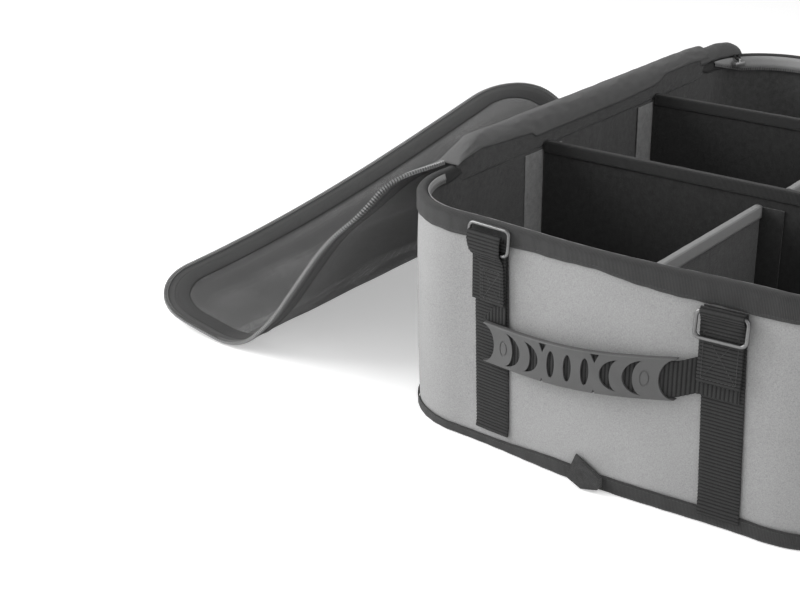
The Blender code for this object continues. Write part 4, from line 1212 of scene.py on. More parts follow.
tooth = make_tooth(LID_COIL_HEIGHT)
coil_spots = lid_line(COIL_WIDTH / 2)
coil_line = [lid_place(*spot) for spot in coil_spots]
coil_up = nearest_of(coil_line, [lid_up(*spot) for spot in coil_spots])
tooth_places = [turned_to(-heading, coil_up(at), at) for at, heading in even_points(coil_line, TOOTH_PITCH)]
lid_teeth = repeat("lid_teeth", tooth, tooth_places)
lay_on_lid(lid_teeth, "zip_coil", COIL_NYLON, "lid_zip_coil")
drop(tooth)
coil_core = lid_band("lid_coil_core", 0.4 * MILLIMETRE, COIL_WIDTH, 2, 0.0, False)
thicken(coil_core, CORE_HEIGHT, round_edge=0.3 * MILLIMETRE)
lay_on_lid(coil_core, "zip_tape", ZIP_TAPE)
print("teeth on the lid:", len(tooth_places))

# %% Seams on the lid
def lid_seam(name, inset, lift):
    """A row of stitches along the lid's edge, on its upper face or, with a lift below zero, its lower one."""
    spots = lid_line(inset)
    line = [lid_place(*spot, lift) for spot in spots]
    return seam(name, line, nearest_of(line, [lid_up(*spot) * math.copysign(1.0, lift) for spot in spots]))


SEAM_LIFT = BORDER_THICKNESS / 2 + 0.25 * MILLIMETRE
SEAM_MARGIN = 2.2 * MILLIMETRE
SEAM_ROWS = (("lid_seam_outer", BORDER_EDGE + SEAM_MARGIN), ("lid_seam_inner", NET_EDGE - SEAM_MARGIN))
for name, inset in SEAM_ROWS:
    lay_on_lid(lid_seam(name, inset, SEAM_LIFT), "border_fabric", DARK_THREAD)
    lay_on_lid(lid_seam(name + "_under", inset, -SEAM_LIFT), "border_fabric", DARK_THREAD)
print("seams on the lid")

# %% [markdown]
# The lid is joined to the box by a band of cloth folded over the left rim. Inside the box it ends in a crisp
# lip that hangs lower in its middle, in front of a felt facing, and outside it runs on to the lid. It
# crosses the joint between the two bodies. It sinks to nothing at the near end, and at the far end a fold of
# the same cloth goes on round the corner of the rim. A noise along its length gives the wrinkles. The facing
# and the corner's fold stand above the rim.

# %% Hinge band
HINGE_HALF = LID_LENGTH / 2 - LID_HINGE_CORNER
BAND_COLUMNS = 150
BAND_LIP_X = -0.2388
BAND_LIPS = ((-0.267, 0.2400), (-0.228, 0.2400), (-0.153, 0.2350), (-0.132, 0.2335), (-0.126, 0.2278),
             (0.054, 0.2275), (0.130, 0.2300), (0.146, 0.2335), (0.154, 0.2395), (0.220, 0.2400),
             (0.267, 0.2370))
BAND_INSIDE = ((-0.2394, 0.2430), (-0.2406, 0.2462), (-0.2430, 0.2492), (-0.2464, 0.2514))
BAND_OUTSIDE = ((-0.2505, 0.2526), (-0.2560, 0.2516), (-0.2612, 0.2488))
BAND_ON_LID = (0.011, 0.016, 0.0215)
BAND_FOOT = 0.2316
BAND_THICKNESS = 1.0 * MILLIMETRE
BAND_BULGE = 1.4 * MILLIMETRE
BAND_CREASE = 1.5 * MILLIMETRE
LID_CREASE = 0.8 * MILLIMETRE
NEAR_RUN = 0.040
FAR_SHARE = 0.82
FAR_RUN = 0.17
SINK_POWER = 0.7
FACING = ((-0.2426, 0.2120), (-0.2412, 0.2160), (-0.2399, 0.2205), (-0.2394, 0.2260))
FACING_HALF = 0.266
FACING_TOP = 2.5 * MILLIMETRE
FACING_TAPER = 0.024
FACING_RIPPLE = 0.4 * MILLIMETRE
FACING_SINK = 2.6 * MILLIMETRE
FACING_THICKNESS = 0.6 * MILLIMETRE
FACING_GAP = 0.8 * MILLIMETRE
CLOSED_LEVEL = 0.2250
CORNER_START = 0.248
CORNER_TURN = 36.0
FOLD_STEPS = 60
FOLD_WRINKLE = 2.2 * MILLIMETRE
FOLD_THICKNESS = 0.9 * MILLIMETRE
CORNER_SECTION = ((0.0106, 0.2300), (0.0110, 0.2360), (0.0104, 0.2420), (0.0078, 0.2475), (0.0034, 0.2494),
                  (-0.0008, 0.2462), (-0.0030, 0.2380), (-0.0030, 0.2290))


def band_height(y):
    """How much of its full height the band has at y: it sinks at both ends of the hinge."""
    near = (y + HINGE_HALF) / NEAR_RUN
    far = FAR_SHARE + (HINGE_HALF - y) / FAR_RUN
    return clamped(min(near, far)) ** SINK_POWER


def soften(piece, thickness):
    """Divide a strip once more and give it its thickness."""
    apply_modifier(piece, "SUBSURF", levels=1, render_levels=1)
    thicken(piece, thickness)


def make_hinge_band():
    columns = []
    for step in range(BAND_COLUMNS + 1):
        y = HINGE_HALF * (1 - 2 * step / BAND_COLUMNS)
        height = band_height(y)
        column = []
        hem = between(BAND_LIPS, y)
        rim = BAND_INSIDE[0][1]
        falling = tuple((BAND_LIP_X, hem + (rim - hem) * part / 3) for part in range(3))
        for index, (x, z) in enumerate(falling + BAND_INSIDE + BAND_OUTSIDE):
            bulge = noise(Vector((y * 20, index * 0.5, 3.0))) * BAND_BULGE
            crease = noise(Vector((y * 75 + index * 0.5, index * 0.9, 8.0))) * BAND_CREASE
            free = min(1.0, 0.25 + index / 5)
            lowered = BAND_FOOT + (z - BAND_FOOT) * height
            column.append((x + crease * free, y, lowered + (bulge + crease) * free * height))
        for across in BAND_ON_LID:
            crease = noise(Vector((y * 45, across * 90, 5.0))) * LID_CREASE
            column.append(lid_place(across, y, BORDER_THICKNESS / 2 + LID_CREASE + crease))
        columns.append(column)
    piece = cloth_strip("hinge_band", columns)
    soften(piece, BAND_THICKNESS)
    piece.data.materials.clear()
    piece.data.materials.append(BAND_CLOTH)
    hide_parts("hinge_strip")
    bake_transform(piece)
    return piece


def flattened(piece, level=CLOSED_LEVEL):
    """Give a piece its own mesh."""
    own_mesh(piece)
    return piece


def make_facing():
    """Felt that goes on from the lining over the rim, up behind the band's lip."""
    columns = []
    for step in range(BAND_COLUMNS + 1):
        y = FACING_HALF * (1 - 2 * step / BAND_COLUMNS)
        top = BAND_FOOT + (between(BAND_LIPS, y) - BAND_FOOT) * band_height(y) + FACING_TOP
        ripple = FACING_RIPPLE * noise(Vector((y * 30, 2.0, 6.0)))
        sunk = FACING_SINK * max(0.0, 1 - (FACING_HALF - abs(y)) / FACING_TAPER) ** 2
        column = [(x + ripple * part / 3 - sunk, y, z) for part, (x, z) in enumerate(FACING)]
        column.append((BAND_LIP_X - FACING_GAP + ripple - sunk, y, top - 2 * sunk))
        columns.append(column)
    piece = cloth_strip("hinge_facing", columns)
    soften(piece, FACING_THICKNESS)
    return flattened(dress(piece, "box", "felt", FELT))


def make_corner_fold():
    """The band's cloth folded round the rim's far left corner, lower and lower towards its end."""
    straight = CORNER_Y - CORNER_START
    whole = straight + CORNER_RADIUS * math.radians(CORNER_TURN)
    columns = []
    for step in range(FOLD_STEPS + 1):
        run = whole * step / FOLD_STEPS
        angle = max(0.0, run - straight) / CORNER_RADIUS
        start = min(0.0, run - straight)
        height = math.sqrt(max(0.0, 1 - (step / FOLD_STEPS) ** 6)) * min(1.0, 0.7 + 2 * step / FOLD_STEPS)
        column = []
        for index, (inset, z) in enumerate(CORNER_SECTION):
            wrinkle = noise(Vector((run * 55, index * 0.7, 4.0))) * FOLD_WRINKLE
            radius = CORNER_RADIUS - inset - wrinkle * 0.6
            x, y = -CORNER_X - radius * math.cos(angle), CORNER_Y + start + radius * math.sin(angle)
            column.append((x, y, BAND_FOOT + (z - BAND_FOOT) * height + wrinkle * height))
        columns.append(column)
    piece = cloth_strip("hinge_corner_fold", columns)
    soften(piece, FOLD_THICKNESS)
    return flattened(dress(piece, "box", "border_fabric", BAND_CLOTH))


BAND_CLOTH = ribbed_tape("band_cloth", 0.0012, 0.075, 0.250, 0.0005)
hinge_band = make_hinge_band()
make_facing()
make_corner_fold()
print("hinge band:", len(hinge_band.data.polygons), "faces")

# %% [markdown]
# On the box's side the zip's other half is sewn inside the rim, round three walls. Its tape is a narrow strip
# that leans inwards, and towards the rear it has slipped deeper and shows as a wider lip. The tape is painted
# far paler than the lid's half of the same zip: a painted sheen. Its teeth hang from the tape's lower edge.

# %% Zip on the box
zip_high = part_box("box_zip_tape")[1]
coil_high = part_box("box_zip_coil")[1]
ZIP_INSET = WIDTH / 2 - zip_high.x
ZIP_LIP = 9.0 * MILLIMETRE
LIP_START = 0.20
LIP_RUN = 0.10
END_GAP = 4.0 * MILLIMETRE
POINT_SHARE = 0.15
POINT_RUN = 0.055


def lip(y):
    """How much deeper the tape hangs at y."""
    return ZIP_LIP * eased(clamped((y - LIP_START) / LIP_RUN))


def make_box_tape():
    """The tape round three walls, left of the front to left of the rear, where it runs out to a point."""
    lines = [box_line(ZIP_INSET + lean * MILLIMETRE) for lean in (0.2, 0.8, 1.4, 1.8)]
    columns = []
    for index in range(len(lines[0])):
        x, y = lines[0][index]
        if x < -WIDTH / 2 + ZIP_INSET + END_GAP and abs(y) < CORNER_Y:
            continue
        pointed = x < -CORNER_X and y > 0
        depth = min(1.0, POINT_SHARE + max(0.0, y - CORNER_Y) / POINT_RUN) if pointed else 1.0
        column = []
        for step, line in enumerate(lines):
            share = step / (len(lines) - 1)
            top = zip_high.z - (zip_high.z - coil_high.z + lip(line[index][1])) * share * depth
            column.append((*line[index], top))
        columns.append(list(reversed(column)))
    return columns


tape_columns = make_box_tape()
box_tape = cloth_strip("box_tape", tape_columns)
thicken(box_tape, ZIP_TAPE_THICKNESS)
# the tape's pale colour is painted sheen
dress(box_tape, "box", "zip_tape", BOX_ZIP_TAPE_PAINTED_SHEEN, "box_zip_tape")
tooth_line = [Vector(column[0]) + Vector((0.0, 0.0, -1.0 * MILLIMETRE)) for column in tape_columns]
tooth_places = []
for at, heading in even_points(tooth_line, TOOTH_PITCH):
    tooth_places.append(turned_to(heading, -from_the_box(at), at) @ Matrix.Rotation(math.pi, 4, "X"))
tooth = make_tooth(TOOTH_THICKNESS)
box_teeth = repeat("box_teeth", tooth, tooth_places)
dress(box_teeth, "box", "zip_coil", COIL_NYLON, "box_zip_coil")
drop(tooth)
print("teeth on the box:", len(tooth_places))

# %% [markdown]
# ## Straps, loops and rings
#
# Two webbing straps are sewn to each short wall, a little out of plumb. At the top each one turns round the
# wire of a ring and comes down again on its own face, so a single strip, laid along that path from the side,
# gives both plies and the eye. Its columns are half a millimetre apart, close enough to model the ribs.
# Everything on a wall is made for the front wall and turned by half a turn for the rear.

# %% Where a strap stands
STRAP_SPACING = 0.235
STRAP_TOP = 0.206
STRAP_HALF = 0.0196
STRAP_FEET = {"left": 0.0175, "right": 0.0090}
STRAP_LEANS = {"left": 0.0045, "right": 0.0080}
LEAN_RUN = 0.188
STRAP_LIFT = 1.35 * MILLIMETRE
FOOT_LIFT = 2.9 * MILLIMETRE
PLY = 1.1 * MILLIMETRE
LOOP_MIDDLE = 5.6 * MILLIMETRE
EYE_OFFSET = 7.8 * MILLIMETRE
EYE_Z = 0.203
EYE_RADIUS = 2.8 * MILLIMETRE
EYE_NECK = 0.0091
EYE_SLACK = 14.5 * MILLIMETRE
EYE_START = -0.30
EYE_SWEEP = math.pi + 0.62
EYE_STEPS = 40
NECK_OUTSIDE = ((0.0007, 0.0028), (0.0026, 0.0056))
NECK_INSIDE = 0.0030
PLY_GAP = 0.65 * MILLIMETRE
PLY_STEPS = 16
OUTER_PLY_SHARE = 0.55
STRAP_STEPS = 48
FOOT_TOP = 0.026
FOOT_RUN = 0.010
LOOP_ENDS = {"left": 0.152, "right": 0.137}
LOOSE_LEFT = ((0.1520, -0.0088), (0.1900, -0.0100), (0.1985, -0.0185), (0.2120, -0.0228), (0.2300, -0.0228))
LOOSE_RIGHT = ((0.1520, 0.0196), (0.1900, 0.0180), (0.1985, 0.0160), (0.2300, 0.0150))
RIB_STEP = 0.55 * MILLIMETRE
RIB_HEIGHT = 0.45 * MILLIMETRE
RIB_EDGE = 0.35 * MILLIMETRE
WEB_STEPS = 8
WEB_WANDER = 0.30 * MILLIMETRE
WEB_CROWN = 0.20 * MILLIMETRE
WEB_ROUNDING = 0.30 * MILLIMETRE
FRONT = Matrix.Identity(4)
REAR = Matrix.Rotation(math.pi, 4, "Z")


def strap_place(side, turn):
    """A place on the wall at a strap: X along the wall, -Y outwards, Z up from the ground."""
    x = side * STRAP_SPACING / 2
    run = 1.0 * MILLIMETRE
    slope = (wall_y(x + run, 0.0) - wall_y(x - run, 0.0)) / (2 * run)
    return turn @ Matrix.Translation((x, wall_y(x, 0.0), 0.0)) @ Matrix.Rotation(math.atan(slope), 4, "Z")


def rib(distance, pitch):
    """Height of the ribs at a distance along the webbing, from 0 in a gap to 1 on a crown."""
    return abs(math.sin(math.pi * distance / pitch)) ** 0.7


def webbing_strip(name, path, edges, place, twist=0.0):
    """Ribbed webbing along a path of (outwards, up) points seen from the side.

    Edges is a function from the share of the path and the height to the places of the two edges.
    """
    spots = even_points([(out, up, 0.0) for out, up in path], RIB_STEP)
    columns = []
    for index, (spot, heading) in enumerate(spots):
        crown = rib(index * RIB_STEP, STRAP_RIB)
        left, right = edges(index / len(spots), spot.y)
        outer_ply = 1.0 if heading.y > -0.5 else 0.2
        column = []
        for step in range(WEB_STEPS + 1):
            share = step / WEB_STEPS * 2 - 1
            wander = WEB_WANDER * noise(Vector((spot.y * 60 + twist, index * 0.02, share * 2)))
            lift = (WEB_CROWN * (1 - share * share) + wander + RIB_HEIGHT * crown) * outer_ply
            x = (left + right) / 2 + ((right - left) / 2 - RIB_EDGE + RIB_EDGE * crown) * share
            column.append(place @ Vector((x, -spot.x - heading.y * lift, spot.y - heading.x * lift)))
        columns.append(column)
    piece = cloth_strip(name, columns, step_length=RIB_STEP)
    thicken(piece, PLY, round_edge=WEB_ROUNDING)
    return piece


def strap_path(foot):
    """Up from the foot tape to the top."""
    path = []
    for step in range(STRAP_STEPS + 1):
        up = foot + (STRAP_TOP - foot) * step / STRAP_STEPS
        path.append((STRAP_LIFT + (FOOT_LIFT - STRAP_LIFT) * eased(clamped((FOOT_TOP - up) / FOOT_RUN)), up))
    return path


def strap_edges(name):
    """The two edges of a strap at a height: straight, with the whole strap leaning."""

    def edges(share, up):
        shift = STRAP_LEANS[name] * (STRAP_TOP - up) / LEAN_RUN
        return shift - STRAP_HALF, shift + STRAP_HALF

    return edges


def straight_edges(share, up):
    return -STRAP_HALF, STRAP_HALF


def loose_edges(share, up):
    """The two edges of the standing ring's loop: its outer ply is twisted and gets narrower downwards."""
    if share < OUTER_PLY_SHARE:
        return between(LOOSE_LEFT, up), between(LOOSE_RIGHT, up)
    return straight_edges(share, up)


def loop_path(loop_end, slack):
    """Up the outer ply, round the ring's wire and down the inner ply. Slack lets the fold stand higher."""
    outer, inner = LOOP_MIDDLE + PLY_GAP, LOOP_MIDDLE - PLY_GAP
    neck = EYE_Z - EYE_NECK
    path = [(outer, loop_end + (neck - loop_end) * step / PLY_STEPS) for step in range(PLY_STEPS + 1)]
    path += [(outer + out, neck + up) for out, up in NECK_OUTSIDE]
    for step in range(EYE_STEPS + 1):
        angle = EYE_START + EYE_SWEEP * step / EYE_STEPS
        rise = math.sin(angle) * (EYE_RADIUS + (slack if 0 < angle < math.pi else 0.0))
        path.append((EYE_OFFSET + EYE_RADIUS * math.cos(angle), EYE_Z + rise))
    path.append((inner, neck + NECK_INSIDE))
    return path + [(inner, neck + (loop_end - neck) * step / PLY_STEPS) for step in range(PLY_STEPS + 1)]


print("straps lean by", STRAP_LEANS)

# %% [markdown]
# A ring is one wire bent to a rectangle with round corners. It starts as a small torus. Its four quarters are
# then moved apart, and the faces between them stretch to the four straight sides. The left ring of the front
# wall stands up in its eye and the others hang down.

# %% Rings
RING_WIRE = 3.6 * MILLIMETRE
RING_HALF = 23.0 * MILLIMETRE
RING_REACH = 24.0 * MILLIMETRE
RING_CORNER = 5.5 * MILLIMETRE
RING_STANDING = -6.0
RING_HANGING = 174.0
FRAME_MARGIN = 4.0 * MILLIMETRE
FRAME_TOP = 18.0 * MILLIMETRE
FRAME_OUT = 1.9 * MILLIMETRE
FRAME_STITCH = (2.6 * MILLIMETRE, 0.5 * MILLIMETRE)
FRAME_PITCH = 3.3 * MILLIMETRE


def make_ring(end, name, place, angle):
    bpy.ops.object.select_all(action="DESELECT")
    turns = {"major_segments": 40, "minor_segments": 12}
    bpy.ops.mesh.primitive_torus_add(major_radius=RING_CORNER, minor_radius=RING_WIRE / 2, **turns)
    piece = bpy.context.object
    piece.rotation_euler = (math.pi / 2, 0.0, 0.0)
    bpy.ops.object.transform_apply(location=False, rotation=True, scale=False)
    piece.data.transform(Matrix.Rotation(math.pi / turns["major_segments"], 4, "Y"))
    for side in (-1, 1):
        start_edit(piece)
        pick(piece, "VERT", lambda co, normal: co.x * side > 0)
        bpy.ops.transform.translate(value=(side * (RING_HALF - RING_CORNER), 0.0, 0.0))
        end_edit()
    for vert in piece.data.vertices:
        vert.co.z += RING_REACH - RING_CORNER if vert.co.z > 0 else RING_CORNER
    pivot = Matrix.Translation((0.0, -EYE_OFFSET, EYE_Z))
    piece.data.transform(place @ pivot @ Matrix.Rotation(math.radians(angle), 4, "X"))
    settle(piece, f"{end}_ring_{name}_wire", 60.0)
    return dress(piece, f"{end}_{name}_ring", "wire", WIRE, f"{end}_ring_{name}")


def box_stitches(name, place, low, high, edges, out):
    """A sewn frame with a cross in it, on the face of a strap, inside the strap's edges."""
    (low_left, low_right), (high_left, high_right) = edges(0.0, low), edges(0.0, high)
    corners = [(low_left + FRAME_MARGIN, low), (low_right - FRAME_MARGIN, low),
               (high_right - FRAME_MARGIN, high), (high_left + FRAME_MARGIN, high)]
    lines = [(corners[k], corners[(k + 1) % 4]) for k in range(4)]
    lines += [(corners[0], corners[2]), (corners[1], corners[3])]
    stitch = make_stitch(*FRAME_STITCH)
    outwards = (place.to_3x3() @ Vector((0.0, -1.0, 0.0))).normalized()
    places = []
    for start, end in lines:
        path = [place @ Vector((x, -out, z)) for x, z in (start, end)]
        places += [turned_to(heading, outwards, at) for at, heading in even_points(path, FRAME_PITCH)]
    piece = repeat(name, stitch, places)
    drop(stitch)
    return dress(piece, "box", "webbing", STRAP_THREAD)


STRAP_THREAD = thread("strap_thread", 0.012, 0.040)
print("ring wire", RING_WIRE, "m")

# %% Straps on both walls
def make_straps(end, turn, standing):
    for side, name in ((-1, "left"), (1, "right")):
        place = strap_place(side, turn)
        edges = strap_edges(name)
        strap = webbing_strip(f"{end}_strap_{name}_webbing", strap_path(STRAP_FEET[name]), edges, place, side)
        dress(strap, "box", "webbing", STRAP_WEBBING, f"{end}_strap_{name}")
        loop_end = LOOP_ENDS[name]
        around = loose_edges if name == standing else straight_edges
        path = loop_path(loop_end, EYE_SLACK if name == standing else 0.0)
        loop = webbing_strip(f"{end}_loop_{name}_webbing", path, around, place, 3 + side)
        dress(loop, "box", "webbing", STRAP_WEBBING, f"{end}_loop_{name}")
        low, high, out = loop_end + FRAME_MARGIN, EYE_Z - FRAME_TOP, LOOP_MIDDLE + FRAME_OUT
        box_stitches(f"{end}_stitches_{name}", place, low, high, around, out)
        angle = RING_STANDING if name == standing else RING_HANGING
        make_ring(end, name, place, angle)


make_straps("front", FRONT, "left")
make_straps("rear", REAR, "none")
print("four straps with loops, rings and stitches")

# %% [markdown]
# ## The handles
#
# Each handle is a band of webbing between the two straps, bowed away from the wall, with a rubber grip on its
# middle. The grip is a flat sleeve with cut-outs: three ovals, two crescents on each side of them, notches in
# its edges and a hollow at each end. It is cut flat, as a block with cutters. Then it is sliced into columns
# and bowed along the handle's own line, so that it fits the webbing inside it.

# %% The line of the handle
STRAP_WIDTH = 0.040
HANDLE_WIDTH = 0.035
HANDLE_LAYER = 2.3 * MILLIMETRE
WEBBING_THICKNESS = 1.4 * MILLIMETRE
HANDLE_BOW = 0.0125
HANDLE_SAG = 0.0037
HANDLE_END_OFFSET = 0.0062
HANDLE_ANCHOR_Z = 0.1410
HANDLE_LEFT_Z = 0.1127
HANDLE_RIGHT_Z = 0.1339
HANDLE_LEFT_DROP = 0.0020
GRIP_LENGTH = 0.2032
GRIP_SHIFT = -0.0199
GRIP_HEIGHT = 0.0400
GRIP_THICKNESS = 0.0064


def handle_run(x):
    """Offset from the wall and height of the handle's middle line at x."""
    left_end = -STRAP_SPACING / 2 - STRAP_WIDTH / 2
    grip_left = GRIP_SHIFT - GRIP_LENGTH / 2
    grip_right = GRIP_SHIFT + GRIP_LENGTH / 2
    anchor = HANDLE_LAYER + WEBBING_THICKNESS / 2
    strap_inner = STRAP_SPACING / 2 - STRAP_WIDTH / 2
    if x <= grip_left:
        share = (x - left_end) / (grip_left - left_end)
        return HANDLE_END_OFFSET, HANDLE_LEFT_Z - HANDLE_LEFT_DROP * (1 - share)
    if x >= grip_right:
        share = min(1.0, (x - grip_right) / (strap_inner - grip_right))
        out = HANDLE_END_OFFSET + (anchor - HANDLE_END_OFFSET) * share
        return out, HANDLE_RIGHT_Z + (HANDLE_ANCHOR_Z - HANDLE_RIGHT_Z) * share
    share = (x - grip_left) / GRIP_LENGTH
    swell = math.sin(math.pi * share)
    height = HANDLE_LEFT_Z + (HANDLE_RIGHT_Z - HANDLE_LEFT_Z) * share - HANDLE_SAG * swell
    return HANDLE_END_OFFSET + (HANDLE_BOW - HANDLE_END_OFFSET) * swell, height


def handle_place(x, depth, height, turn):
    """Place of a point at x, depth outwards and height above the handle's middle line."""
    offset, middle = handle_run(x)
    return turn @ Vector((x, wall_y(x, offset + depth), middle + height))


print("handle stands", HANDLE_BOW * 1000, "mm off the wall")

# %% Cutters for the grip
CRESCENTS = ((0.0505, 0.0180, 0.0150, 0.0095), (0.0733, 0.0193, 0.0165, 0.0095))
OVAL_SPACING = 0.0181
OVAL_WIDTH = 0.0085
OVAL_HEIGHT = 0.0260
MOUTH_DEPTH = 0.0150
MOUTH_HALF = 0.0192
NOTCH_PLACES = (-0.0276, 0.0276)
UPPER_NOTCH = ((-0.0042, 0.0183), (0.0042, 0.0183), (0.0, 0.0100))
LOWER_NOTCH = ((-0.0022, -0.0210), (0.0, -0.0155), (0.0022, -0.0210))
MARK_PLACES = (-0.0745, 0.0745)
MARK_HALF = 0.0040
MARK_TALL = 1.75
MARK_LINE = 0.0007
ARC = 20


def half_turn(centre, reach, half_height, steps=ARC):
    """Points of a half ellipse that bulges from centre by reach, from its lower to its upper tip."""
    angles = [math.pi * (step / steps - 0.5) for step in range(steps + 1)]
    return [(centre + reach * math.cos(angle), half_height * math.sin(angle)) for angle in angles]


def crescent(tips, bulge, half_height, width):
    inner = bulge - math.copysign(width, bulge)
    return half_turn(tips, bulge, half_height) + half_turn(tips, inner, half_height)[-2:0:-1]


def oval(centre):
    points = []
    for step in range(28):
        angle = TURN * step / 28
        points.append((centre + OVAL_WIDTH / 2 * math.cos(angle), OVAL_HEIGHT / 2 * math.sin(angle)))
    return points


def mouth(side):
    end = GRIP_SHIFT + side * GRIP_LENGTH / 2
    past = end + side * GRIP_HEIGHT / 2
    return half_turn(end, -side * MOUTH_DEPTH, MOUTH_HALF) + [(past, MOUTH_HALF), (past, -MOUTH_HALF)]


def subtract(piece, cutter):
    """Cut one shape out of another and remove the cutter."""
    apply_modifier(piece, "BOOLEAN", operation="DIFFERENCE", solver="EXACT", object=cutter)
    drop(cutter)


def cut_through(piece, outline, low, high):
    """Cut an outline of (x, z) points through a block along Y."""
    cutter = start_outline("cutter", [(x, low, z) for x, z in outline], high - low)
    end_edit()
    subtract(piece, cutter)


print("cutters ready")

# %% Grips
GRIP_SLICES = 44
SLOT_HALF = 1.2 * MILLIMETRE
SLOT_HEIGHT_HALF = 0.018
GRIP_EDGE = 0.5 * MILLIMETRE
GRIP_ROUNDING = 1.6 * MILLIMETRE


def engrave_mark(piece, x):
    """Press an oval ring into the grip's face: a torus stretched upwards and subtracted."""
    bpy.ops.object.select_all(action="DESELECT")
    ring = {"major_radius": MARK_HALF, "minor_radius": MARK_LINE, "major_segments": 32, "minor_segments": 6}
    place = {"location": (x, -GRIP_THICKNESS / 2, 0.0), "rotation": (math.pi / 2, 0.0, 0.0)}
    bpy.ops.mesh.primitive_torus_add(**place, **ring)
    cutter = bpy.context.object
    bpy.ops.object.transform_apply(location=False, rotation=True, scale=False)
    cutter.scale.z = MARK_TALL
    subtract(piece, cutter)


def make_grip(end, turn):
    middle = (GRIP_SHIFT, 0.0, 0.0)
    piece = make_block(middle, (GRIP_LENGTH, GRIP_THICKNESS, GRIP_HEIGHT))
    apply_modifier(piece, "BEVEL", width=GRIP_ROUNDING, segments=4, limit_method="NONE")
    subtract(piece, make_block(middle, (GRIP_LENGTH * 1.2, 2 * SLOT_HALF, 2 * SLOT_HEIGHT_HALF)))
    outlines = [oval(GRIP_SHIFT + step * OVAL_SPACING) for step in (-1, 0, 1)]
    for side in (-1, 1):
        for tips, bulge, half_height, width in CRESCENTS:
            outlines.append(crescent(GRIP_SHIFT + side * tips, -side * bulge, half_height, width))
    for outline in outlines:
        cut_through(piece, outline, -GRIP_THICKNESS, 0.0)
    for side in (-1, 1):
        cut_through(piece, mouth(side), -GRIP_THICKNESS, GRIP_THICKNESS)
    for place in NOTCH_PLACES:
        for triangle in (UPPER_NOTCH, LOWER_NOTCH):
            cut_through(piece, [(GRIP_SHIFT + place + x, z) for x, z in triangle], -GRIP_THICKNESS, 0.0)
    for place in MARK_PLACES:
        engrave_mark(piece, GRIP_SHIFT + place)
    settings = {"limit_method": "ANGLE", "angle_limit": math.radians(50), "use_clamp_overlap": True}
    apply_modifier(piece, "BEVEL", width=GRIP_EDGE, segments=2, **settings)
    for step in range(1, GRIP_SLICES):
        x = GRIP_SHIFT + GRIP_LENGTH * (step / GRIP_SLICES - 0.5)
        start_edit(piece)
        bpy.ops.mesh.select_all(action="SELECT")
        bpy.ops.mesh.bisect(plane_co=(x, 0.0, 0.0), plane_no=(1.0, 0.0, 0.0))
        end_edit()
    for vert in piece.data.vertices:
        vert.co = handle_place(vert.co.x, -vert.co.y, vert.co.z, turn)
    settle(piece, f"{end}_grip_rubber", 35.0)
    return dress(piece, "box", "rubber", RUBBER, f"{end}_grip")


make_grip("front", FRONT)
make_grip("rear", REAR)

# %% Handle webbing
TAIL_OUT = 3.1 * MILLIMETRE
TAIL_LOW = 0.1335
TAIL_HIGH = 0.1580
TAIL_START = -0.0070
TAIL_END = 0.0194
TAIL_SLANT = 0.0230
DIVE_START = -0.0990
DIVE_END = -0.1080
DIVE_OFFSET = 0.0018
BAND_END_GAP = 1.0 * MILLIMETRE
BAND_SIDE_GAP = 0.3 * MILLIMETRE


def band_depth(x):
    """How far the band leaves the handle's line: at its left end it dives behind the grip into the strap."""
    return (DIVE_OFFSET - handle_run(x)[0]) * clamped((DIVE_START - x) / (DIVE_START - DIVE_END))


def ribbed_sheet(name, start, end, place, low_and_high):
    """Webbing that runs along X with its ribs upright. Place takes (x, depth, height)."""
    count = round((end - start) / RIB_STEP)
    columns = []
    for step in range(count + 1):
        x = start + (end - start) * step / count
        crown = rib(step * RIB_STEP, HANDLE_RIB)
        low, high = low_and_high(x)
        column = []
        for part in range(WEB_STEPS + 1):
            share = part / WEB_STEPS
            wave = WEB_WANDER * noise(Vector((x * 70, share * 3, 6.0)))
            edge = RIB_EDGE * (crown - 1) * (2 * share - 1)
            column.append(place(x, wave + RIB_HEIGHT * crown, low + (high - low) * share + edge))
        columns.append(column)
    piece = cloth_strip(name, columns, step_length=RIB_STEP)
    thicken(piece, PLY, round_edge=WEB_ROUNDING)
    return piece


def make_handle_webbing(end, turn):
    reach = STRAP_SPACING / 2 + STRAP_WIDTH / 2 - BAND_END_GAP
    half = HANDLE_WIDTH / 2 - BAND_SIDE_GAP

    def on_handle(x, depth, height):
        return handle_place(x, depth + band_depth(x), height, turn)

    band = ribbed_sheet(f"{end}_handle_band", DIVE_END, reach, on_handle, lambda x: (-half, half))
    dress(band, "box", "webbing", HANDLE_WEBBING, f"{end}_handle_webbing")

    wall = strap_place(-1, turn)

    def on_strap(x, depth, height):
        return wall @ Vector((x, -TAIL_OUT - depth, height))

    def tail_height(x):
        return TAIL_LOW, TAIL_HIGH - TAIL_SLANT * max(0.0, 1 - (x - TAIL_START) / TAIL_SLANT)

    tail = ribbed_sheet(f"{end}_handle_tail", TAIL_START, TAIL_END, on_strap, tail_height)
    return dress(tail, "box", "webbing", HANDLE_WEBBING, f"{end}_handle_fold")


make_handle_webbing("front", FRONT)
make_handle_webbing("rear", REAR)
print("handle webbing")

# %% [markdown]
# A folded scrap of webbing is caught in the foot tape's seam near the middle of the front wall. It is a
# triangle that stands away from the wall at its lower edge: an outline, extruded and divided, whose outer
# face is pulled out and puffed.

# %% Foot tab
TAB_X = -0.0030
TAB_HALF = 0.0170
TAB_HEIGHT = 0.0300
TAB_APEX = -0.0110
TAB_LEAN = 0.0088
TAB_THICKNESS = 1.6 * MILLIMETRE
TAB_FACE = 0.2 * MILLIMETRE
TAB_PUFF = 0.5 * MILLIMETRE
TAB_OUTLINE = ((-TAB_HALF, 0.0075), (TAB_APEX, TAB_HEIGHT), (TAB_HALF, 0.0150), (TAB_HALF, 0.0050),
               (0.0, 0.0012))


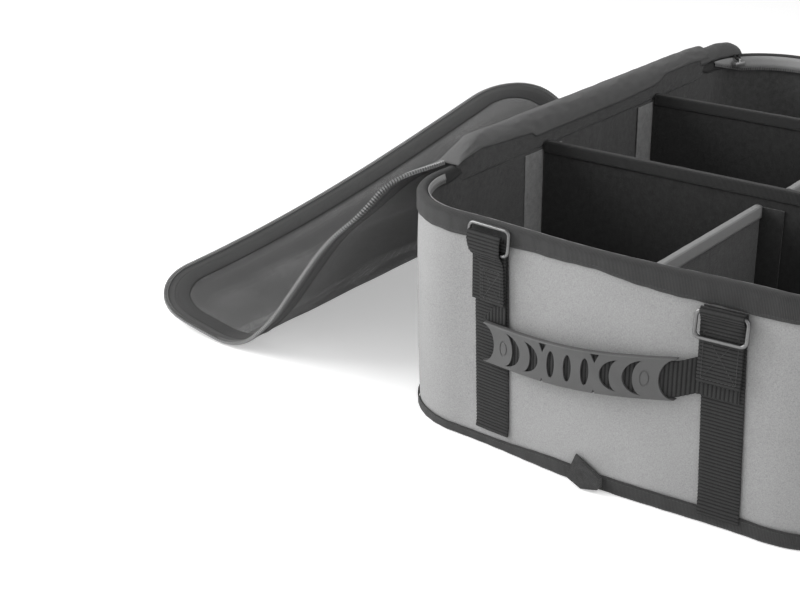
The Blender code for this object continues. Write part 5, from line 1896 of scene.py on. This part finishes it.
def make_foot_tab():
    y = wall_y(TAB_X, TAPE_OUT + LAYER_GAP)
    points = [(TAB_X + x, y, z) for x, z in TAB_OUTLINE]
    piece = start_outline("foot_tab_cloth", points, -TAB_THICKNESS)
    bpy.ops.mesh.quads_convert_to_tris()
    bpy.ops.mesh.subdivide(number_cuts=5)
    end_edit()
    for vert in piece.data.vertices:
        if vert.co.y < y - TAB_FACE:
            share = max(0.0, 1 - vert.co.z / TAB_HEIGHT)
            bulge = noise(Vector((vert.co.x * 90, vert.co.z * 90, 3.0))) * TAB_PUFF
            vert.co.y -= TAB_LEAN * share ** 0.8 * 0.93 + bulge * share
    settle(piece, "foot_tab_cloth")
    return dress(piece, "box", "webbing", TAB_CLOTH, "base_tab")


TAB_CLOTH = felt("tab_cloth", 0.020, 0.075)
make_foot_tab()
print("foot tab")

# %% [markdown]
# ## The dividers
#
# A divider is a board covered in dark felt, with tape folded over its top edge and a flap of hook tape at
# each end that clings to the lining. A plane wall of felt is never quite flat, so once a panel's edges are
# rounded it is subdivided and bowed by a fraction of a millimetre.

# %% Panels and flaps
PANEL_BOW = 0.5 * MILLIMETRE
SMALL_BOW = 0.3 * MILLIMETRE
FLAP_BOW = 0.15 * MILLIMETRE
PANEL_ROUNDING = 1.6 * MILLIMETRE
FLAP_ROUNDING = 0.3 * MILLIMETRE
LONG_EDGE = 0.06


def felt_board(name, node, slot, material, rounding, bow=PANEL_BOW):
    """A soft board in the room of a node: a cube, subdivided, rounded and slightly bowed."""
    low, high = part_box(node)
    piece = make_block((low + high) / 2, high - low)
    apply_modifier(piece, "BEVEL", width=rounding, segments=3, limit_method="NONE")
    start_edit(piece)
    longest = max(high - low)
    pick(piece, "EDGE", lambda middle, edge: edge.calc_length() > longest * 0.5)
    bpy.ops.mesh.subdivide(number_cuts=15)
    pick(piece, "EDGE", lambda middle, edge: edge.calc_length() > LONG_EDGE)
    bpy.ops.mesh.subdivide(number_cuts=9)
    end_edit()
    axis = 1 if high.y - low.y < high.x - low.x else 0
    for vert in piece.data.vertices:
        co = vert.co
        broad = noise(Vector((co.x * 9, co.y * 9, co.z * 9)))
        fine = noise(Vector((co.x * 30, co.y * 30, co.z * 26)))
        co[axis] += bow * (broad + 0.5 * fine)
    settle(piece, name)
    return dress(piece, "box", slot, material, node)


for end in ("front", "rear"):
    felt_board(f"{end}_cross_board", f"{end}_cross_divider_panel", "felt", BOARD_FELT, PANEL_ROUNDING)
    for side in ("left", "right"):
        node = f"{end}_cross_divider_tab_{side}"
        felt_board(f"{node}_flap", node, "hook_tape", HOOK_TAPE, FLAP_ROUNDING, FLAP_BOW)
for end in ("front", "middle"):
    node = f"{end}_small_divider_panel"
    felt_board(f"{end}_small_board", node, "felt", FELT, PANEL_ROUNDING, SMALL_BOW)
    for side in ("front", "rear"):
        node = f"{end}_small_divider_tab_{side}"
        felt_board(f"{node}_flap", node, "hook_tape", FLAP_FELT, FLAP_ROUNDING, FLAP_BOW)
print("divider boards and flaps")

# %% Tape over the dividers
TAPE_TUCK = 1.0 * MILLIMETRE
TAPE_ROUND = 1.1 * MILLIMETRE
TAPE_STEP = 5.0 * MILLIMETRE
TAPE_RIPPLE = 0.7 * HEM_RIPPLE
TAPE_PLY = 0.9 * MILLIMETRE
TAPE_SEAM_UP = 2.2 * MILLIMETRE
TAPE_SEAM_OUT = 0.1 * MILLIMETRE


def divider_tape(name, node, slot, material, thread_finish):
    """Tape folded flat over a divider, with small round edges and a row of stitches on each face."""
    low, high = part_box(node)
    runs_x = high.x - low.x > high.y - low.y
    half = min(high.x - low.x, high.y - low.y) / 2 - TAPE_TUCK
    middle = (low + high) / 2
    start, end = (low.x, high.x) if runs_x else (low.y, high.y)
    shoulder = high.z - TAPE_ROUND
    section = [(-half, low.z + (shoulder - low.z) * step / 4) for step in range(4)]
    for side in (-1, 1):
        for step in range(5):
            angle = math.pi / 2 * (step / 4 if side < 0 else 1 - step / 4)
            across = half - TAPE_ROUND + TAPE_ROUND * math.cos(angle)
            section.append((side * across, shoulder + TAPE_ROUND * math.sin(angle)))
    section += [(half, shoulder - (shoulder - low.z) * step / 4) for step in range(1, 5)]
    columns = []
    count = round((end - start) / TAPE_STEP)
    for index in range(count + 1):
        run = start + (end - start) * index / count
        ripple = TAPE_RIPPLE * noise(Vector((run * 60, 1.0, 2.0)))
        column = []
        for side, z in section:
            shift = side * (1 + ripple / half)
            spot = (run, middle.y + shift, z + ripple) if runs_x else (middle.x - shift, run, z + ripple)
            column.append(spot)
        columns.append(column)
    piece = cloth_strip(name, columns)
    thicken(piece, TAPE_PLY, offset=-1.0)
    dress(piece, "box", slot, material, node)
    stitch = make_stitch(STITCH_LENGTH, STITCH_WIDTH)
    for side, word in ((-1, "one"), (1, "other")):
        z = low.z + TAPE_SEAM_UP
        out = side * (half + TAPE_SEAM_OUT)
        if runs_x:
            path = [Vector((start, middle.y + out, z)), Vector((end, middle.y + out, z))]
            away = Vector((0.0, side, 0.0))
        else:
            path = [Vector((middle.x + out, start, z)), Vector((middle.x + out, end, z))]
            away = Vector((side, 0.0, 0.0))
        row = seam(f"{name}_{word}_seam", path, lambda at: away, pattern=stitch)
        dress(row, "box", slot, thread_finish)
    drop(stitch)
    return piece


for end in ("front", "rear"):
    divider_tape(f"{end}_cross_tape", f"{end}_cross_divider_binding", "binding", DIVIDER_TAPE, DARK_THREAD)
for end in ("front", "middle"):
    node = f"{end}_small_divider_binding"
    divider_tape(f"{end}_small_tape", node, "pale_binding", PALE_BINDING, PALE_THREAD)
print("divider tapes")

# %% [markdown]
# ## Slider and pull
#
# The zip's slider is parked at the rear left corner. It is a flat metal shell with a bail on it, and the pull
# is a loop of cord through the bail. Both start as copies of their solids, whose doubles are merged. The
# slider's edges are bevelled. The cord is smoothed and swollen a little.

# %% Slider
CORD_SWELL = 0.7 * MILLIMETRE
SLIDER_EDGE = 0.35 * MILLIMETRE


def start_copy(name, node):
    """Copy a node's mesh, merge its doubles and stay in edit mode with everything selected."""
    piece = bpy.data.objects.new(name, nodes[node].data.copy())
    bpy.context.collection.objects.link(piece)
    start_edit(piece)
    bpy.ops.mesh.select_all(action="SELECT")
    bpy.ops.mesh.remove_doubles(threshold=WELD)
    return piece


def make_slider():
    piece = start_copy("slider_metal", "zip_slider")
    bpy.ops.mesh.dissolve_limited(angle_limit=math.radians(2))
    end_edit()
    settings = {"limit_method": "ANGLE", "angle_limit": math.radians(50)}
    apply_modifier(piece, "BEVEL", width=SLIDER_EDGE, segments=2, **settings)
    settle(piece, "slider_metal", 35.0)
    return dress(piece, "box", "wire", SLIDER_METAL, "zip_slider")


def make_pull():
    """A cord loop round the bail, in the room of its node."""
    piece = start_copy("pull_cord", "zip_pull")
    bpy.ops.mesh.tris_convert_to_quads(face_threshold=math.radians(60), shape_threshold=math.radians(60))
    end_edit()
    apply_modifier(piece, "SUBSURF", levels=1, render_levels=1)
    apply_modifier(piece, "DISPLACE", strength=CORD_SWELL, mid_level=0.0)
    settle(piece, "pull_cord", 60.0)
    return flattened(dress(piece, "pull", "cord", CORD, "zip_pull"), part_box("zip_slider")[1].z)


make_slider()
make_pull()
print("slider and pull")

# %% Sizes and finish
sizes = {"cad": [list(corner) for corner in cad_bounds], "model": [list(corner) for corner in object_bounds()]}
print("visible model:", [round(b - a, 4) for a, b in zip(*sizes["model"])])
